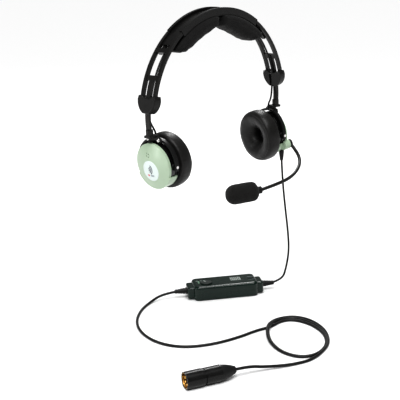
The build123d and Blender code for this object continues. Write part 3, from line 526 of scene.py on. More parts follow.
@dataclass(frozen=True)
class Ink(Finish):
    """Printed ink: a thin film that shows the moulding under it."""

    def paint(self, bench: Bench) -> None:
        """Builds the nodes."""
        where = self.places(bench)
        dots = bench.cells(where, 0.00028)
        worn = bench.noise(where, 0.0016, 4.0, 0.7)
        faded = tuple(0.72 * c + 0.02 for c in self.colour[:3]) + (1.0,)
        colour = bench.mix(worn * 0.6 + dots * 0.25, self.colour, faded)
        self.shade(bench, colour, worn * 0.15 + self.rough, dots, 0.000012)


SATIN_BLACK = Moulded("satin_black_nylon", grey(0.005, 0.03), 0.28, coat=0.06)
ARM_BLACK = Moulded("arm_nylon", grey(0.006, 0.05), 0.3, coat=0.05)
YOKE_BLACK = Moulded("yoke_nylon", grey(0.0065, 0.03), 0.42, 0.0006, 0.00004)
STRAP_BLACK = Moulded("coated_strap", grey(0.007, 0.06), 0.35, 0.0003, 0.000015, 0.1)
BRACKET_BLACK = Moulded("bracket_nylon", grey(0.006), 0.38, 0.0005, 0.00003)
GLOSS_BLACK = Moulded("gloss_shell", grey(0.002), 0.12, 0.0012, 0.000008, 0.35, 0.05)
SAGE = Painted("sage_cover", (0.335, 0.43, 0.315, 1.0), 0.28, (0.29, 0.38, 0.27, 1.0))
BADGE_PALE = Ink("badge_pale", (0.66, 0.74, 0.72, 1.0), 0.35)
INK_DARK = Ink("ink_dark", (0.012, 0.018, 0.04, 1.0), 0.4)
INK_RED = Ink("ink_red", (0.62, 0.05, 0.08, 1.0), 0.4)
INK_GREY = Ink("ink_grey", (0.3, 0.36, 0.38, 1.0), 0.4)
INK_WHITE = Ink("ink_white", (0.62, 0.68, 0.64, 1.0), 0.45)
PAD_LEATHER = Leatherette("ear_pad_leatherette", grey(0.0045, 0.05), 0.38)
PAD_CLOTH = Woven("head_pad_cloth", grey(0.0032, 0.02), 0.86, 0.00075)
SOUND_CLOTH = Woven("sound_cloth", grey(0.008), 0.8, 0.0005)
MIC_FOAM = Foam("mic_foam", grey(0.004, 0.06), 0.95)
CORD_JACKET = Jacket("cord_jacket", grey(0.004, 0.02), 0.4)
BOOM_SLEEVE = Jacket("boom_sleeve", grey(0.005, 0.03), 0.34)
BOOT_RUBBER = Jacket("boot_rubber", grey(0.0045, 0.0), 0.48)
BRIGHT_STEEL = Metal("bright_steel", grey(0.78, 0.02), 0.2, grey(0.5))
GOLD = Metal("gold_plate", (0.86, 0.6, 0.24, 1.0), 0.22, (0.62, 0.4, 0.16, 1.0))
GREY_METAL = Metal("speaker_can", grey(0.32), 0.4, grey(0.2))
GREEN_BOARD = Board("circuit_board", (0.012, 0.11, 0.04, 1.0), 0.35)
MODULE_GREEN = Moulded("module_case", (0.0018, 0.0085, 0.0058, 1.0), 0.2, 0.0008, 0.000012, 0.2, 0.06)
DIAL_GREY = Moulded("dial_plastic", (0.004, 0.009, 0.007, 1.0), 0.4, 0.0005, 0.00003)
PLUG_BLACK = Moulded("plug_body", grey(0.0045, 0.02), 0.26, 0.0006, 0.00002, 0.06)
DARK_BAFFLE = Moulded("baffle", grey(0.009), 0.5, 0.0007, 0.00004)
GUIDE = Lens("light_guide", (0.25, 0.42, 0.3, 1.0), 0.15)
THREAD = Jacket("pad_thread", grey(0.007, 0.02), 0.6)

NODE_FINISHES: dict[Finish, tuple[str, ...]] = {
    SATIN_BLACK: ("crown_frame",),
    ARM_BLACK: ("arm_right", "arm_left", "pad_carrier"),
    YOKE_BLACK: ("yoke_right", "yoke_left"),
    STRAP_BLACK: ("slider_strap_right", "slider_strap_left"),
    BRACKET_BLACK: ("swivel_bracket_right", "swivel_bracket_left", "stirrup_right", "stirrup_left",
                    "boom_pivot", "mic_collar"),
    GLOSS_BLACK: ("cup_shell_right", "cup_shell_left"),
    SAGE: ("outer_cover_right", "outer_cover_left"),
    DARK_BAFFLE: ("speaker_baffle_right", "speaker_baffle_left", "plug_insert"),
    GREY_METAL: ("speaker_driver_right", "speaker_driver_left", "mic_capsule"),
    GREEN_BOARD: ("noise_board_right", "noise_board_left", "module_board"),
    BRIGHT_STEEL: ("pivot_pins_right", "pivot_pins_left", "module_screws"),
    CORD_JACKET: ("crossover_lead",),
    BOOT_RUBBER: ("cord_gland", "relief_upper", "relief_lower", "plug_boot"),
    MODULE_GREEN: ("module_top", "module_bottom"),
    DIAL_GREY: ("volume_dial", "power_button"),
    GUIDE: ("led_lenses",),
    PLUG_BLACK: ("plug_sleeve", "plug_shell"),
    GOLD: ("plug_lining", "plug_contacts"),
}


# ---------- mesh tools ----------
def lathe(profile: Sequence[tuple[float, float]], segments: int, closed: bool) -> bmesh.types.BMesh:
    """Turns (x, radius) points about the X axis.

    Args:
        profile: The outline, in metres. A radius of 0 makes a pole.
        segments: Faces round the axis.
        closed: Whether the outline's last point joins its first.

    Returns:
        The new mesh.
    """
    mesh = bmesh.new()
    rings: list[list[bmesh.types.BMVert]] = []
    for x, radius in profile:
        if radius == 0.0:
            rings.append([mesh.verts.new((x, 0.0, 0.0))])
            continue
        turns = (math.tau * step / segments for step in range(segments))
        rings.append([mesh.verts.new((x, radius * math.cos(turn), radius * math.sin(turn))) for turn in turns])
    pairs = list(zip(rings, rings[1:] + (rings[:1] if closed else [])))
    for low, high in pairs:
        for step in range(segments):
            after = (step + 1) % segments
            corners = [low[step % len(low)], low[after % len(low)], high[after % len(high)], high[step % len(high)]]
            unique = list(dict.fromkeys(corners))
            if len(unique) > 2:
                mesh.faces.new(unique)
    bmesh.ops.recalc_face_normals(mesh, faces=mesh.faces)
    return mesh


def grid_shell(lines: Sequence[Sequence[Vector]], closed: bool, thickness: float,
               onto: Callable[[Vector], Vector]) -> bmesh.types.BMesh:
    """Thin closed shell over rows of points, laid onto a surface.

    Args:
        lines: Rows of points in the surface's own plane, all of one length.
        closed: Whether each row's last point joins its first.
        thickness: How far it stands up.
        onto: Puts a plane point with a height on the surface.

    Returns:
        The new mesh.
    """
    mesh = bmesh.new()
    sheets = []
    for height in (-0.5 * thickness, thickness):
        sheets.append([[mesh.verts.new(onto(Vector((p.x, p.y, height)))) for p in line] for line in lines])
    width = len(lines[0])
    spans = [(i, (i + 1) % width) for i in range(width if closed else width - 1)]
    for sheet in sheets:
        for near, far in zip(sheet, sheet[1:]):
            for a, b in spans:
                mesh.faces.new((near[a], near[b], far[b], far[a]))
    for row in (0, -1):
        for a, b in spans:
            mesh.faces.new((sheets[0][row][a], sheets[0][row][b], sheets[1][row][b], sheets[1][row][a]))
    if not closed:
        rows = list(zip(*sheets))
        for end in (0, -1):
            for (low, high), (next_low, next_high) in zip(rows, rows[1:]):
                mesh.faces.new((low[end], next_low[end], next_high[end], high[end]))
    bmesh.ops.recalc_face_normals(mesh, faces=mesh.faces)
    return mesh


def disc_rows(radius: float, rings: int, points: int) -> list[list[Vector]]:
    """Rings of points that fill a disc, round a pin-prick in its middle.

    Args:
        radius: The disc's radius.
        rings: How many rings.
        points: Points in each.

    Returns:
        The rings.
    """
    turns = [math.tau * step / points for step in range(points)]
    reaches = [max(0.004, ring / rings) * radius for ring in range(rings + 1)]
    return [[Vector((reach * math.cos(turn), reach * math.sin(turn), 0.0)) for turn in turns] for reach in reaches]


def stroke_rows(middle: Sequence[tuple[float, float]], width: float, steps: int = 8) -> list[list[Vector]]:
    """Rows of points across a smooth brush stroke.

    Args:
        middle: Points of its middle line, in millimetres.
        width: Its width in millimetres.
        steps: Rows from one point to the next.

    Returns:
        The rows, in metres.
    """
    ends = [Vector(middle[0]) * 2 - Vector(middle[1])] + [Vector(p) for p in middle]
    ends.append(Vector(middle[-1]) * 2 - Vector(middle[-2]))
    rows = []
    for i in range(1, len(ends) - 2):
        for step in range(steps + (i == len(ends) - 3)):
            t = step / steps
            before, here, after, later = ends[i - 1:i + 3]
            spot = 0.5 * (2 * here + (after - before) * t + (2 * before - 5 * here + 4 * after - later) * t ** 2
                          + (3 * here - before - 3 * after + later) * t ** 3)
            slope = 0.5 * ((after - before) + 2 * (2 * before - 5 * here + 4 * after - later) * t
                           + 3 * (3 * here - before - 3 * after + later) * t ** 2)
            rows.append((spot, Vector((-slope.y, slope.x)).normalized()))
    last = len(rows) - 1
    lines = []
    for i, (spot, aside) in enumerate(rows):
        tip = min(1.0, (min(i, last - i) + 1.2) / 3.5)
        half = width / 2 * math.sqrt(1 - (1 - tip) ** 2)
        lines.append([(spot + aside * half * side).to_3d() * MM for side in (-1.0, -0.33, 0.33, 1.0)])
    return lines


def add_piece(name: str, mesh: bmesh.types.BMesh, finish: Finish, body: str,
              place: Optional[Matrix] = None, replaces: Sequence[str] = ()) -> bpy.types.Object:
    """Puts a new piece in the scene, on its body.

    Args:
        name: The piece's name.
        mesh: Its shape, which is used up.
        finish: Its finish.
        body: The CAD body that it rides on.
        place: Moves the shape to its place, or None.
        replaces: CAD nodes that it stands for.

    Returns:
        The new object.
    """
    if place is not None:
        bmesh.ops.transform(mesh, matrix=place, verts=mesh.verts)
        if place.determinant() < 0:
            bmesh.ops.reverse_faces(mesh, faces=mesh.faces)
    data = bpy.data.meshes.new(name)
    mesh.to_mesh(data)
    mesh.free()
    for polygon in data.polygons:
        polygon.use_smooth = True
    piece = bpy.data.objects.new(name, data)
    bpy.context.scene.collection.objects.link(piece)
    settle(piece, finish, body, replaces)
    return piece


def settle(piece: bpy.types.Object, finish: Finish, body: str, replaces: Sequence[str] = ()) -> None:
    """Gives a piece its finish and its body.

    Args:
        piece: The piece.
        finish: Its finish.
        body: The CAD body that it rides on.
        replaces: CAD nodes that it stands for.
    """
    piece.data.materials.clear()
    piece.data.materials.append(finish.material())
    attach(piece, body)
    if replaces:
        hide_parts(*replaces)
    LOG.info("%s rides on %s", piece.name, body)


def inflate(piece: bpy.types.Object, held: Callable[[Vector], bool], pressure: float, cap: float) -> None:
    """Swells a stuffed piece with a cloth simulation and keeps the result in its mesh.

    Args:
        piece: The piece, slightly smaller than it should end.
        held: Tells which points are sewn down.
        pressure: The filling's pressure.
        cap: The farthest that a point may move, in metres.
    """
    rest = [vertex.co.copy() for vertex in piece.data.vertices]
    group = piece.vertex_groups.new(name="held")
    group.add([i for i, point in enumerate(rest) if held(point)], 1.0, "REPLACE")
    cloth = piece.modifiers.new("filling", "CLOTH")
    cloth.settings.quality = 5
    cloth.settings.mass = 0.15
    cloth.settings.use_pressure = True
    cloth.settings.uniform_pressure_force = pressure
    cloth.settings.vertex_group_mass = group.name
    cloth.settings.effector_weights.gravity = 0.0
    cloth.collision_settings.use_collision = False
    scene = bpy.context.scene
    for step in range(1, 21):
        scene.frame_set(step)
    view = bpy.context.evaluated_depsgraph_get()
    swollen = [vertex.co.copy() for vertex in piece.evaluated_get(view).data.vertices]
    piece.modifiers.remove(cloth)
    piece.vertex_groups.clear()
    for vertex, before, after in zip(piece.data.vertices, rest, swollen):
        step = after - before
        if step.length > cap:
            step *= cap / step.length
        vertex.co = before + step
    scene.frame_set(1)


def smooth_line(name: str, points: Sequence[Point], radius: float) -> bpy.types.Object:
    """Round line through space, as one smooth open spline.

    Args:
        name: The object's name.
        points: Its control points, in metres.
        radius: Half its thickness, or 0 for a bare line.

    Returns:
        The curve object.
    """
    curve = bpy.data.curves.new(name, "CURVE")
    curve.dimensions = "3D"
    spline = curve.splines.new("NURBS")
    spline.points.add(len(points) - 1)
    for place, point in zip(spline.points, points):
        place.co = (*point, 1.0)
    spline.order_u = 3
    spline.use_endpoint_u = True
    spline.resolution_u = 12
    curve.bevel_depth = radius
    curve.bevel_resolution = 5
    curve.use_fill_caps = True
    made = bpy.data.objects.new(name, curve)
    bpy.context.scene.collection.objects.link(made)
    return made


def as_mesh(piece: bpy.types.Object) -> bpy.types.Object:
    """Turns a piece with modifiers, or a curve, into a plain mesh.

    Args:
        piece: The piece, which is used up.

    Returns:
        The plain piece, with the same name.
    """
    view = bpy.context.evaluated_depsgraph_get()
    data = bpy.data.meshes.new_from_object(piece.evaluated_get(view), depsgraph=view)
    name = piece.name
    bpy.data.objects.remove(piece)
    plain = bpy.data.objects.new(name, data)
    data.name = name
    bpy.context.scene.collection.objects.link(plain)
    return plain


# ---------- geometry node trees ----------
class GeometryBench(Bench):
    """Builds one geometry node tree with named inputs."""

    def __init__(self, name: str, inputs: dict[str, tuple[str, Any]]) -> None:
        """Makes the group and its sockets.

        Args:
            name: The group's name.
            inputs: Socket type and value of each named input.
        """
        super().__init__(bpy.data.node_groups.new(name, "GeometryNodeTree"))
        face = self.tree.interface
        face.new_socket("Geometry", in_out="OUTPUT", socket_type="NodeSocketGeometry")
        face.new_socket("Geometry", in_out="INPUT", socket_type="NodeSocketGeometry")
        self.values = {key: given for key, (_, given) in inputs.items()}
        for key, (kind, _) in inputs.items():
            face.new_socket(key, in_out="INPUT", socket_type=kind)
        self.entry = self.tree.nodes.new("NodeGroupInput")

    def given(self, name: str) -> Value:
        """One of the tree's named inputs."""
        return Value(self, self.entry.outputs[name])

    def close(self, instances: Value) -> None:
        """Ends the tree: real meshes with their material.

        Args:
            instances: What the tree has made.
        """
        real = self.node("GeometryNodeRealizeInstances", {}, {0: instances})
        dressed = self.node("GeometryNodeSetMaterial", {}, {"Geometry": real, "Material": self.given("Finish")})
        self.node("NodeGroupOutput", {}, {0: dressed})

    def run(self, piece: bpy.types.Object) -> bpy.types.Object:
        """Runs the tree on an object and keeps the result as a plain mesh.

        Args:
            piece: The object that the tree starts from, which is used up.

        Returns:
            The plain piece.
        """
        modifier = piece.modifiers.new(self.tree.name, "NODES")
        modifier.node_group = self.tree
        for item in self.tree.interface.items_tree:
            if item.item_type == "SOCKET" and item.in_out == "INPUT" and item.name in self.values:
                modifier[item.identifier] = self.values[item.name]
        return as_mesh(piece)


def sew(path: bpy.types.Object, pitch: float, size: Point, finish: Finish) -> bpy.types.Object:
    """Stitches along a line.

    Args:
        path: A curve object, which is used up.
        pitch: From one stitch to the next.
        size: Length, width and height of a stitch.
        finish: The thread's finish.

    Returns:
        The stitches, as one mesh.
    """
    bench = GeometryBench("stitches", {"Pitch": ("NodeSocketFloat", pitch), "Size": ("NodeSocketVector", size),
                                       "Finish": ("NodeSocketMaterial", finish.material())})
    spots = bench.node("GeometryNodeCurveToPoints", {"mode": "LENGTH"},
                       {"Curve": bench.given("Geometry"), "Length": bench.given("Pitch")}, "Points")
    tangent = bench.tree.nodes[-1].outputs["Tangent"]
    turn = bench.node("FunctionNodeAlignRotationToVector", {"axis": "X"}, {"Vector": Value(bench, tangent)})
    stitch = bench.node("GeometryNodeMeshUVSphere", {}, {"Segments": 8, "Rings": 5, "Radius": 0.5})
    laid = bench.node("GeometryNodeInstanceOnPoints", {},
                      {"Points": spots, "Instance": stitch, "Rotation": turn, "Scale": bench.given("Size")})
    bench.close(laid)
    return bench.run(path)


def scatter_bars(name: str, size: tuple[float, float], rows: int, columns: int, seed: int,
                 finish: Finish) -> bpy.types.Object:
    """Patch of small printed bars of uneven length.

    Args:
        name: The patch's name.
        size: Length and width of the patch.
        rows: Bars across it.
        columns: Bars along it.
        seed: Seed of the bars' lengths.
        finish: The ink.

    Returns:
        The bars, as one mesh in the XY plane about the origin.
    """
    bench = GeometryBench("printed_bars", {
        "Length": ("NodeSocketFloat", size[0]), "Width": ("NodeSocketFloat", size[1]),
        "Columns": ("NodeSocketInt", columns), "Rows": ("NodeSocketInt", rows), "Seed": ("NodeSocketInt", seed),
        "Finish": ("NodeSocketMaterial", finish.material())})
    grid = bench.node("GeometryNodeMeshGrid", {}, {
        "Size X": bench.given("Length"), "Size Y": bench.given("Width"),
        "Vertices X": bench.given("Columns"), "Vertices Y": bench.given("Rows")})
    uneven = bench.node("FunctionNodeRandomValue", {"data_type": "FLOAT"},
                        {2: 0.45, 3: 1.0, "Seed": bench.given("Seed")}, 1)
    bar = bench.node("GeometryNodeMeshCube", {}, {"Size": (0.82 * size[0] / (columns - 1),
                                                           0.4 * size[1] / (rows - 1), 0.00012)})
    scale = bench.node("ShaderNodeCombineXYZ", {}, {0: uneven, 1: 1.0, 2: 1.0})
    laid = bench.node("GeometryNodeInstanceOnPoints", {}, {"Points": grid, "Instance": bar, "Scale": scale})
    bench.close(laid)
    data = bpy.data.meshes.new(name)
    start = bpy.data.objects.new(name, data)
    bpy.context.scene.collection.objects.link(start)
    return bench.run(start)


def set_on_points(name: str, points: Sequence[Point], shape: bpy.types.Object, finish: Finish) -> bpy.types.Object:
    """Copies of one shape, one at each point.

    Args:
        name: The group's name.
        points: Where the copies stand.
        shape: The shape that is copied, which is used up.
        finish: Their finish.

    Returns:
        The copies, as one mesh.
    """
    bench = GeometryBench("fasteners", {"Shape": ("NodeSocketObject", shape),
                                        "Finish": ("NodeSocketMaterial", finish.material())})
    part = bench.node("GeometryNodeObjectInfo", {}, {"Object": bench.given("Shape")}, "Geometry")
    spots = bench.node("GeometryNodeMeshToPoints", {}, {"Mesh": bench.given("Geometry")})
    laid = bench.node("GeometryNodeInstanceOnPoints", {}, {"Points": spots, "Instance": part})
    bench.close(laid)
    data = bpy.data.meshes.new(name)
    data.from_pydata([tuple(point) for point in points], [], [])
    start = bpy.data.objects.new(name, data)
    bpy.context.scene.collection.objects.link(start)
    made = bench.run(start)
    bpy.data.objects.remove(shape)
    return made


# ---------- headband ----------
@dataclass
class Headband:
    """The two head cushions and what is sewn on them. Angles are from the top of the arc."""

    arc_height: float = 48 * MM
    top_radius: float = 101.0 * MM
    half_width: float = 13.6 * MM
    start: float = 2.6
    end: float = 45.0
    bottom: tuple[tuple[float, float], ...] = ((2.0, 12.8), (12.5, 16.4), (22.0, 18.0), (31.0, 18.0), (38.0, 15.6),
                                               (42.5, 11.4), (45.0, 5.8))
    steps_along: int = 56
    steps_round: int = 64
    seam: float = 0.30

    def on_arc(self, radius: float, degrees: float, y: float) -> Vector:
        """Point on the arc.

        Args:
            radius: From the arc's centre line.
            degrees: Angle from the top towards +X.
            y: Place across the band.

        Returns:
            The point.
        """
        turn = math.radians(degrees)
        return Vector((radius * math.sin(turn), y, self.arc_height + radius * math.cos(turn)))

    def depth(self, degrees: float) -> float:
        """How thick the cushion is at an angle, in metres."""
        points = self.bottom
        for (a, low), (b, high) in zip(points, points[1:]):
            if degrees <= b:
                share = max(0.0, (degrees - a) / (b - a))
                share = share * share * (3 - 2 * share)
                return (low + (high - low) * share) * MM
        return points[-1][1] * MM

    def section(self, degrees: float, turn: float, shrink: float) -> Vector:
        """Point on the cushion's skin.

        Args:
            degrees: Angle from the top.
            turn: Angle round the section, 0 at the front edge and growing downwards.
            shrink: Size of the section, 1 in the middle and less at a rounded end.

        Returns:
            The point.
        """
        deep = self.depth(degrees)
        across = math.cos(turn)
        down = math.sin(turn)
        squarish = 0.5
        across = math.copysign(abs(across) ** squarish, across)
        under = max(0.0, down) ** 0.62
        over = -max(0.0, -down) ** 0.4
        middle = 0.36 * deep
        height = middle + (deep - middle) * under if down >= 0 else middle + middle * over
        crown = 1.0 - 0.05 * abs(across) ** 3 if down > 0 else 1.0
        y = -self.half_width * across * (0.62 + 0.38 * shrink)
        radial = middle + (height * crown - middle) * (0.45 + 0.55 * shrink)
        return self.on_arc(self.top_radius - radial, degrees, y)

    def cushion(self, side: Side) -> bpy.types.Object:
        """One stuffed cushion.

        Args:
            side: Which one.

        Returns:
            The cushion.
        """
        mesh = bmesh.new()
        layer = mesh.loops.layers.uv.new("cloth")
        rows: list[list[bmesh.types.BMVert]] = []
        for along in range(self.steps_along + 1):
            share = along / self.steps_along
            degrees = self.start + (self.end - self.start) * share
            outer = min(1.0, (1.0 - share) * 7.0)
            inner = min(1.0, share * 16.0 + 0.35)
            shrink = math.sqrt(max(0.0, 1 - (1 - outer) ** 2)) * math.sqrt(max(0.0, 1 - (1 - inner) ** 2))
            turns = (math.tau * step / self.steps_round for step in range(self.steps_round))
            rows.append([mesh.verts.new(self.section(degrees, turn, shrink)) for turn in turns])
        length = math.radians(self.end - self.start) * self.top_radius
        girth = 4.6 * self.half_width
        for along, (low, high) in enumerate(zip(rows, rows[1:])):
            for step in range(self.steps_round):
                after = (step + 1) % self.steps_round
                face = mesh.faces.new((low[step], low[after], high[after], high[step]))
                u = (step / self.steps_round * girth, (step + 1) / self.steps_round * girth)
                v = (along / self.steps_along * length, (along + 1) / self.steps_along * length)
                for loop, where in zip(face.loops, ((u[0], v[0]), (u[1], v[0]), (u[1], v[1]), (u[0], v[1]))):
                    loop[layer].uv = where
        for row in (rows[0], rows[-1]):
            hub = mesh.verts.new(sum((vertex.co for vertex in row), Vector()) / len(row))
            for step in range(self.steps_round):
                face = mesh.faces.new((row[step], row[(step + 1) % self.steps_round], hub))
                for loop in face.loops:
                    loop[layer].uv = (loop.vert.co.y, loop.vert.co.z)
        bmesh.ops.recalc_face_normals(mesh, faces=mesh.faces)
        piece = add_piece(f"head_pad_{side.word}", mesh, PAD_CLOTH, "headband",
                          replaces=[f"head_cushion_{side.word}"])
        limit = self.top_radius - 1.6 * MM
        centre = Vector((0.0, 0.0, self.arc_height))
        inflate(piece, lambda p: (Vector((p.x, 0.0, p.z)) - centre).length > limit, 3.5, 1.1 * MM)
        self.crease(piece)
        if side is Side.RIGHT:
            mirror = Matrix.Diagonal((-1.0, 1.0, 1.0, 1.0))
            piece.data.transform(mirror)
            piece.data.flip_normals()
        return piece

    def crease(self, piece: bpy.types.Object) -> None:
        """Adds the seam's gathers and soft folds to a left cushion.

        Args:
            piece: The cushion.
        """
        data = piece.data
        normals = [vertex.normal.copy() for vertex in data.vertices]
        for vertex, normal in zip(data.vertices, normals):
            p = vertex.co
            radius = math.hypot(p.x, p.z - self.arc_height)
            degrees = math.degrees(math.atan2(p.x, p.z - self.arc_height))
            below = (self.top_radius - radius) / MM
            fold = noise.noise(Vector((degrees * 0.16, p.y * 55, below * 0.05))) * 0.35
            gather = math.exp(-((below - 6.2) / 1.3) ** 2) * (abs(p.y) > 0.75 * self.half_width)
            pucker = 0.5 + 0.5 * math.sin(degrees * 3.3 + 2 * noise.noise(Vector((degrees * 0.5, 3.1, p.y))))
            slope = min(1.0, below / 4.0)
            vertex.co = p + normal * MM * (fold * slope - gather * (0.55 + 0.25 * pucker))

    def seam_line(self, side: Side, front: float) -> bpy.types.Object:
        """Bare line along a cushion's side seam.

        Args:
            side: Which cushion.
            front: -1 for the front edge and 1 for the back.

        Returns:
            The line.
        """
        points = []
        for step in range(13):
            degrees = 4.5 + (42.0 - 4.5) * step / 12
            spot = self.on_arc(self.top_radius - 6.2 * MM, degrees, front * (self.half_width + 0.12 * MM))
            points.append((spot.x * side.value, spot.y, spot.z))
        return smooth_line(f"head_stitches_{side.word}_{'back' if front > 0 else 'front'}", points, 0.0)

    def build(self) -> None:
        """Makes both cushions and their stitches."""
        for side in Side:
            self.cushion(side)
            for front in (-1.0, 1.0):
                line = self.seam_line(side, front)
                seam = sew(line, 2.1 * MM, (1.5 * MM, 0.34 * MM, 0.34 * MM), THREAD)
                settle(seam, THREAD, "headband")


# ---------- ear cups ----------
@dataclass
class EarCup:
    """What Blender adds to one ear cup. Its own frame has X outwards from the tilt pins."""

    side: Side
    swivel_x: float = 105 * MM
    cup_x: float = 95 * MM
    yaw: float = 0.0
    tilt: float = 0.0
    cover_radius: float = 70.04 * MM
    cover_top: float = 12 * MM
    badge_centre: tuple[float, float] = (0.5 * MM, -5.0 * MM)
    badge_radius: float = 11.5 * MM
    plate_x: float = 97 * MM
    plate_thick: float = 3 * MM
    screw_y: float = 8 * MM
    stirrup_middle: float = 28.2 * MM

    @property
    def yawed(self) -> Matrix:
        """From the bracket's own frame, drawn for the left side, to its place."""
        sign = self.side.value
        swing = Matrix.Rotation(math.radians(-sign * self.yaw), 4, "Z")
        pin = Matrix.Translation((sign * self.swivel_x, 0, 0))
        return pin @ swing @ pin.inverted() @ Matrix.Diagonal((float(sign), 1.0, 1.0, 1.0))

    @property
    def posed(self) -> Matrix:
        """From the cup's own frame to its place."""
        sign = self.side.value
        lean = Matrix.Rotation(math.radians(-self.tilt), 4, "Y")
        return self.yawed @ Matrix.Translation((self.cup_x, 0, 0)) @ lean

    @property
    def body(self) -> str:
        """The cup's CAD body."""
        return f"cup_{self.side.word}"

    def cushion(self) -> None:
        """The stuffed ring, with its seam, gathers and soft dished front."""
        profile = [(-7.3, 28.9), (-8.2, 30.0), (-10.2, 30.6), (-12.8, 30.8), (-15.4, 30.85), (-18.0, 30.7),
                   (-20.2, 30.3), (-21.9, 29.5), (-23.0, 28.5), (-23.6, 27.7), (-23.8, 27.2), (-23.4, 26.8),
                   (-23.85, 26.3), (-24.3, 25.2), (-24.5, 23.6), (-24.4, 21.8), (-24.0, 20.0), (-23.4, 18.2),
                   (-22.6, 16.4), (-21.5, 14.6), (-20.2, 12.9), (-18.6, 11.3), (-16.8, 10.0), (-14.8, 9.1),
                   (-12.4, 8.7), (-9.8, 8.6), (-7.3, 8.8), (-7.2, 14.0), (-7.2, 21.0)]
        mesh = lathe([(u * MM, r * MM) for u, r in profile], 160, True)
        piece = add_piece(f"ear_pad_{self.side.word}", mesh, PAD_LEATHER, self.body,
                          replaces=[f"ear_cushion_{self.side.word}"])
        inflate(piece, lambda p: p.x > -8.0 * MM or (abs(math.hypot(p.y, p.z) - 26.9 * MM) < 0.5 * MM),
                3.0, 0.55 * MM)
        self.gather(piece)
        smoother = piece.modifiers.new("smooth", "SUBSURF")
        smoother.levels = smoother.render_levels = 1
        piece.data.transform(self.posed)
        if self.side is Side.RIGHT:
            piece.data.flip_normals()

    def gather(self, piece: bpy.types.Object) -> None:
        """Radial folds that run from the seam and into the opening.

        Args:
            piece: The cushion, in the cup's own frame.
        """
        seed = 4.7 if self.side is Side.LEFT else 9.2
        data = piece.data
        normals = [vertex.normal.copy() for vertex in data.vertices]
        for vertex, normal in zip(data.vertices, normals):
            p = vertex.co
            radius = math.hypot(p.y, p.z) / MM
            turn = math.atan2(p.z, p.y)
            around = Vector((math.cos(turn), math.sin(turn), 0.0))
            front = p.x < -8.5 * MM
            broad = noise.noise(around * 2.2 + Vector((seed, 0.0, radius * 0.05))) * 0.35
            fine = noise.noise(around * 11.0 + Vector((0.0, seed, radius * 0.12)))
            near_seam = math.exp(-((radius - 27.4) / 2.0) ** 2) if front else 0.0
            near_hole = math.exp(-((radius - 10.5) / 3.2) ** 2) if front else 0.0
            near_back = math.exp(-((p.x / MM + 9.4) / 1.6) ** 2) * (radius > 26)
            pleat = noise.noise(around * 16.0 + Vector((seed, seed, 0.0)))
            amount = broad * front + near_seam * fine * 0.28 + near_hole * fine * 0.38 + near_back * pleat * 0.5
            vertex.co = p + normal * MM * amount

    def stitches(self) -> None:
        """Stitches round the front seam."""
        points = []
        for step in range(49):
            turn = math.tau * step / 48
            points.append((-23.5 * MM, 26.9 * MM * math.cos(turn), 26.9 * MM * math.sin(turn)))
        ring = smooth_line(f"ear_stitches_{self.side.word}", points, 0.0)
        seam = sew(ring, 1.7 * MM, (1.25 * MM, 0.3 * MM, 0.3 * MM), THREAD)
        seam.data.transform(self.posed)
        if self.side is Side.RIGHT:
            seam.data.flip_normals()
        settle(seam, THREAD, self.body)

    def sound_cloth(self) -> None:
        """Cloth disc at the bottom of the cushion's opening."""
        profile = [(-7.02, 0.0), (-7.02, 8.2), (-7.12, 8.35), (-7.35, 8.3), (-7.6, 6.0), (-7.75, 3.0), (-7.8, 0.0)]
        mesh = lathe([(u * MM, r * MM) for u, r in profile], 48, False)
        layer = mesh.loops.layers.uv.new("cloth")
        for face in mesh.faces:
            for loop in face.loops:
                loop[layer].uv = (loop.vert.co.y, loop.vert.co.z)
        add_piece(f"sound_cloth_{self.side.word}", mesh, SOUND_CLOTH, self.body, self.posed)

    def onto_cover(self, point: Vector) -> Vector:
        """Lays a badge point, with its height in Z, on the domed cover.

        Args:
            point: Place on the badge's plane, and height.

        Returns:
            The point in the cup's own frame.
        """
        y = self.badge_centre[0] + point.x
        z = self.badge_centre[1] + point.y
        bend = math.sqrt(self.cover_radius ** 2 - y * y - z * z)
        return Vector((self.cover_top - self.cover_radius + bend + point.z, y, z))

    def printed(self, name: str, rows: Sequence[Sequence[Vector]], closed: bool, height: float,
                finish: Finish) -> None:
        """One printed shape on the cover.

        Args:
            name: Its name.
            rows: Rows of its points on the badge's plane.
            closed: Whether each row is a ring.
            height: How far it stands up.
            finish: Its ink.
        """
        mesh = grid_shell(rows, closed, height, self.onto_cover)
        add_piece(f"{name}_{self.side.word}", mesh, finish, self.body, self.posed)

    def badge(self) -> None:
        """Pale round badge with a plain mark: three sound waves over a bar and a small red tab."""
        self.printed("badge", disc_rows(self.badge_radius, 14, 96), True, 0.03 * MM, BADGE_PALE)
        for count, reach in enumerate((2.3, 4.3, 6.3)):
            turns = [math.radians(a) for a in (-52, -26, 0, 26, 52)]
            wave = [(3.6 - reach * math.cos(t), 1.6 + reach * math.sin(t)) for t in turns]
            self.printed(f"badge_wave_{count + 1}", stroke_rows(wave, 1.15), False, 0.06 * MM, INK_DARK)
        self.printed("badge_bar", stroke_rows(((-4.6, -5.0), (0.6, -5.4)), 2.0), False, 0.06 * MM, INK_GREY)
        self.printed("badge_tab", stroke_rows(((2.2, -5.4), (5.0, -5.2)), 2.2), False, 0.06 * MM, INK_RED)

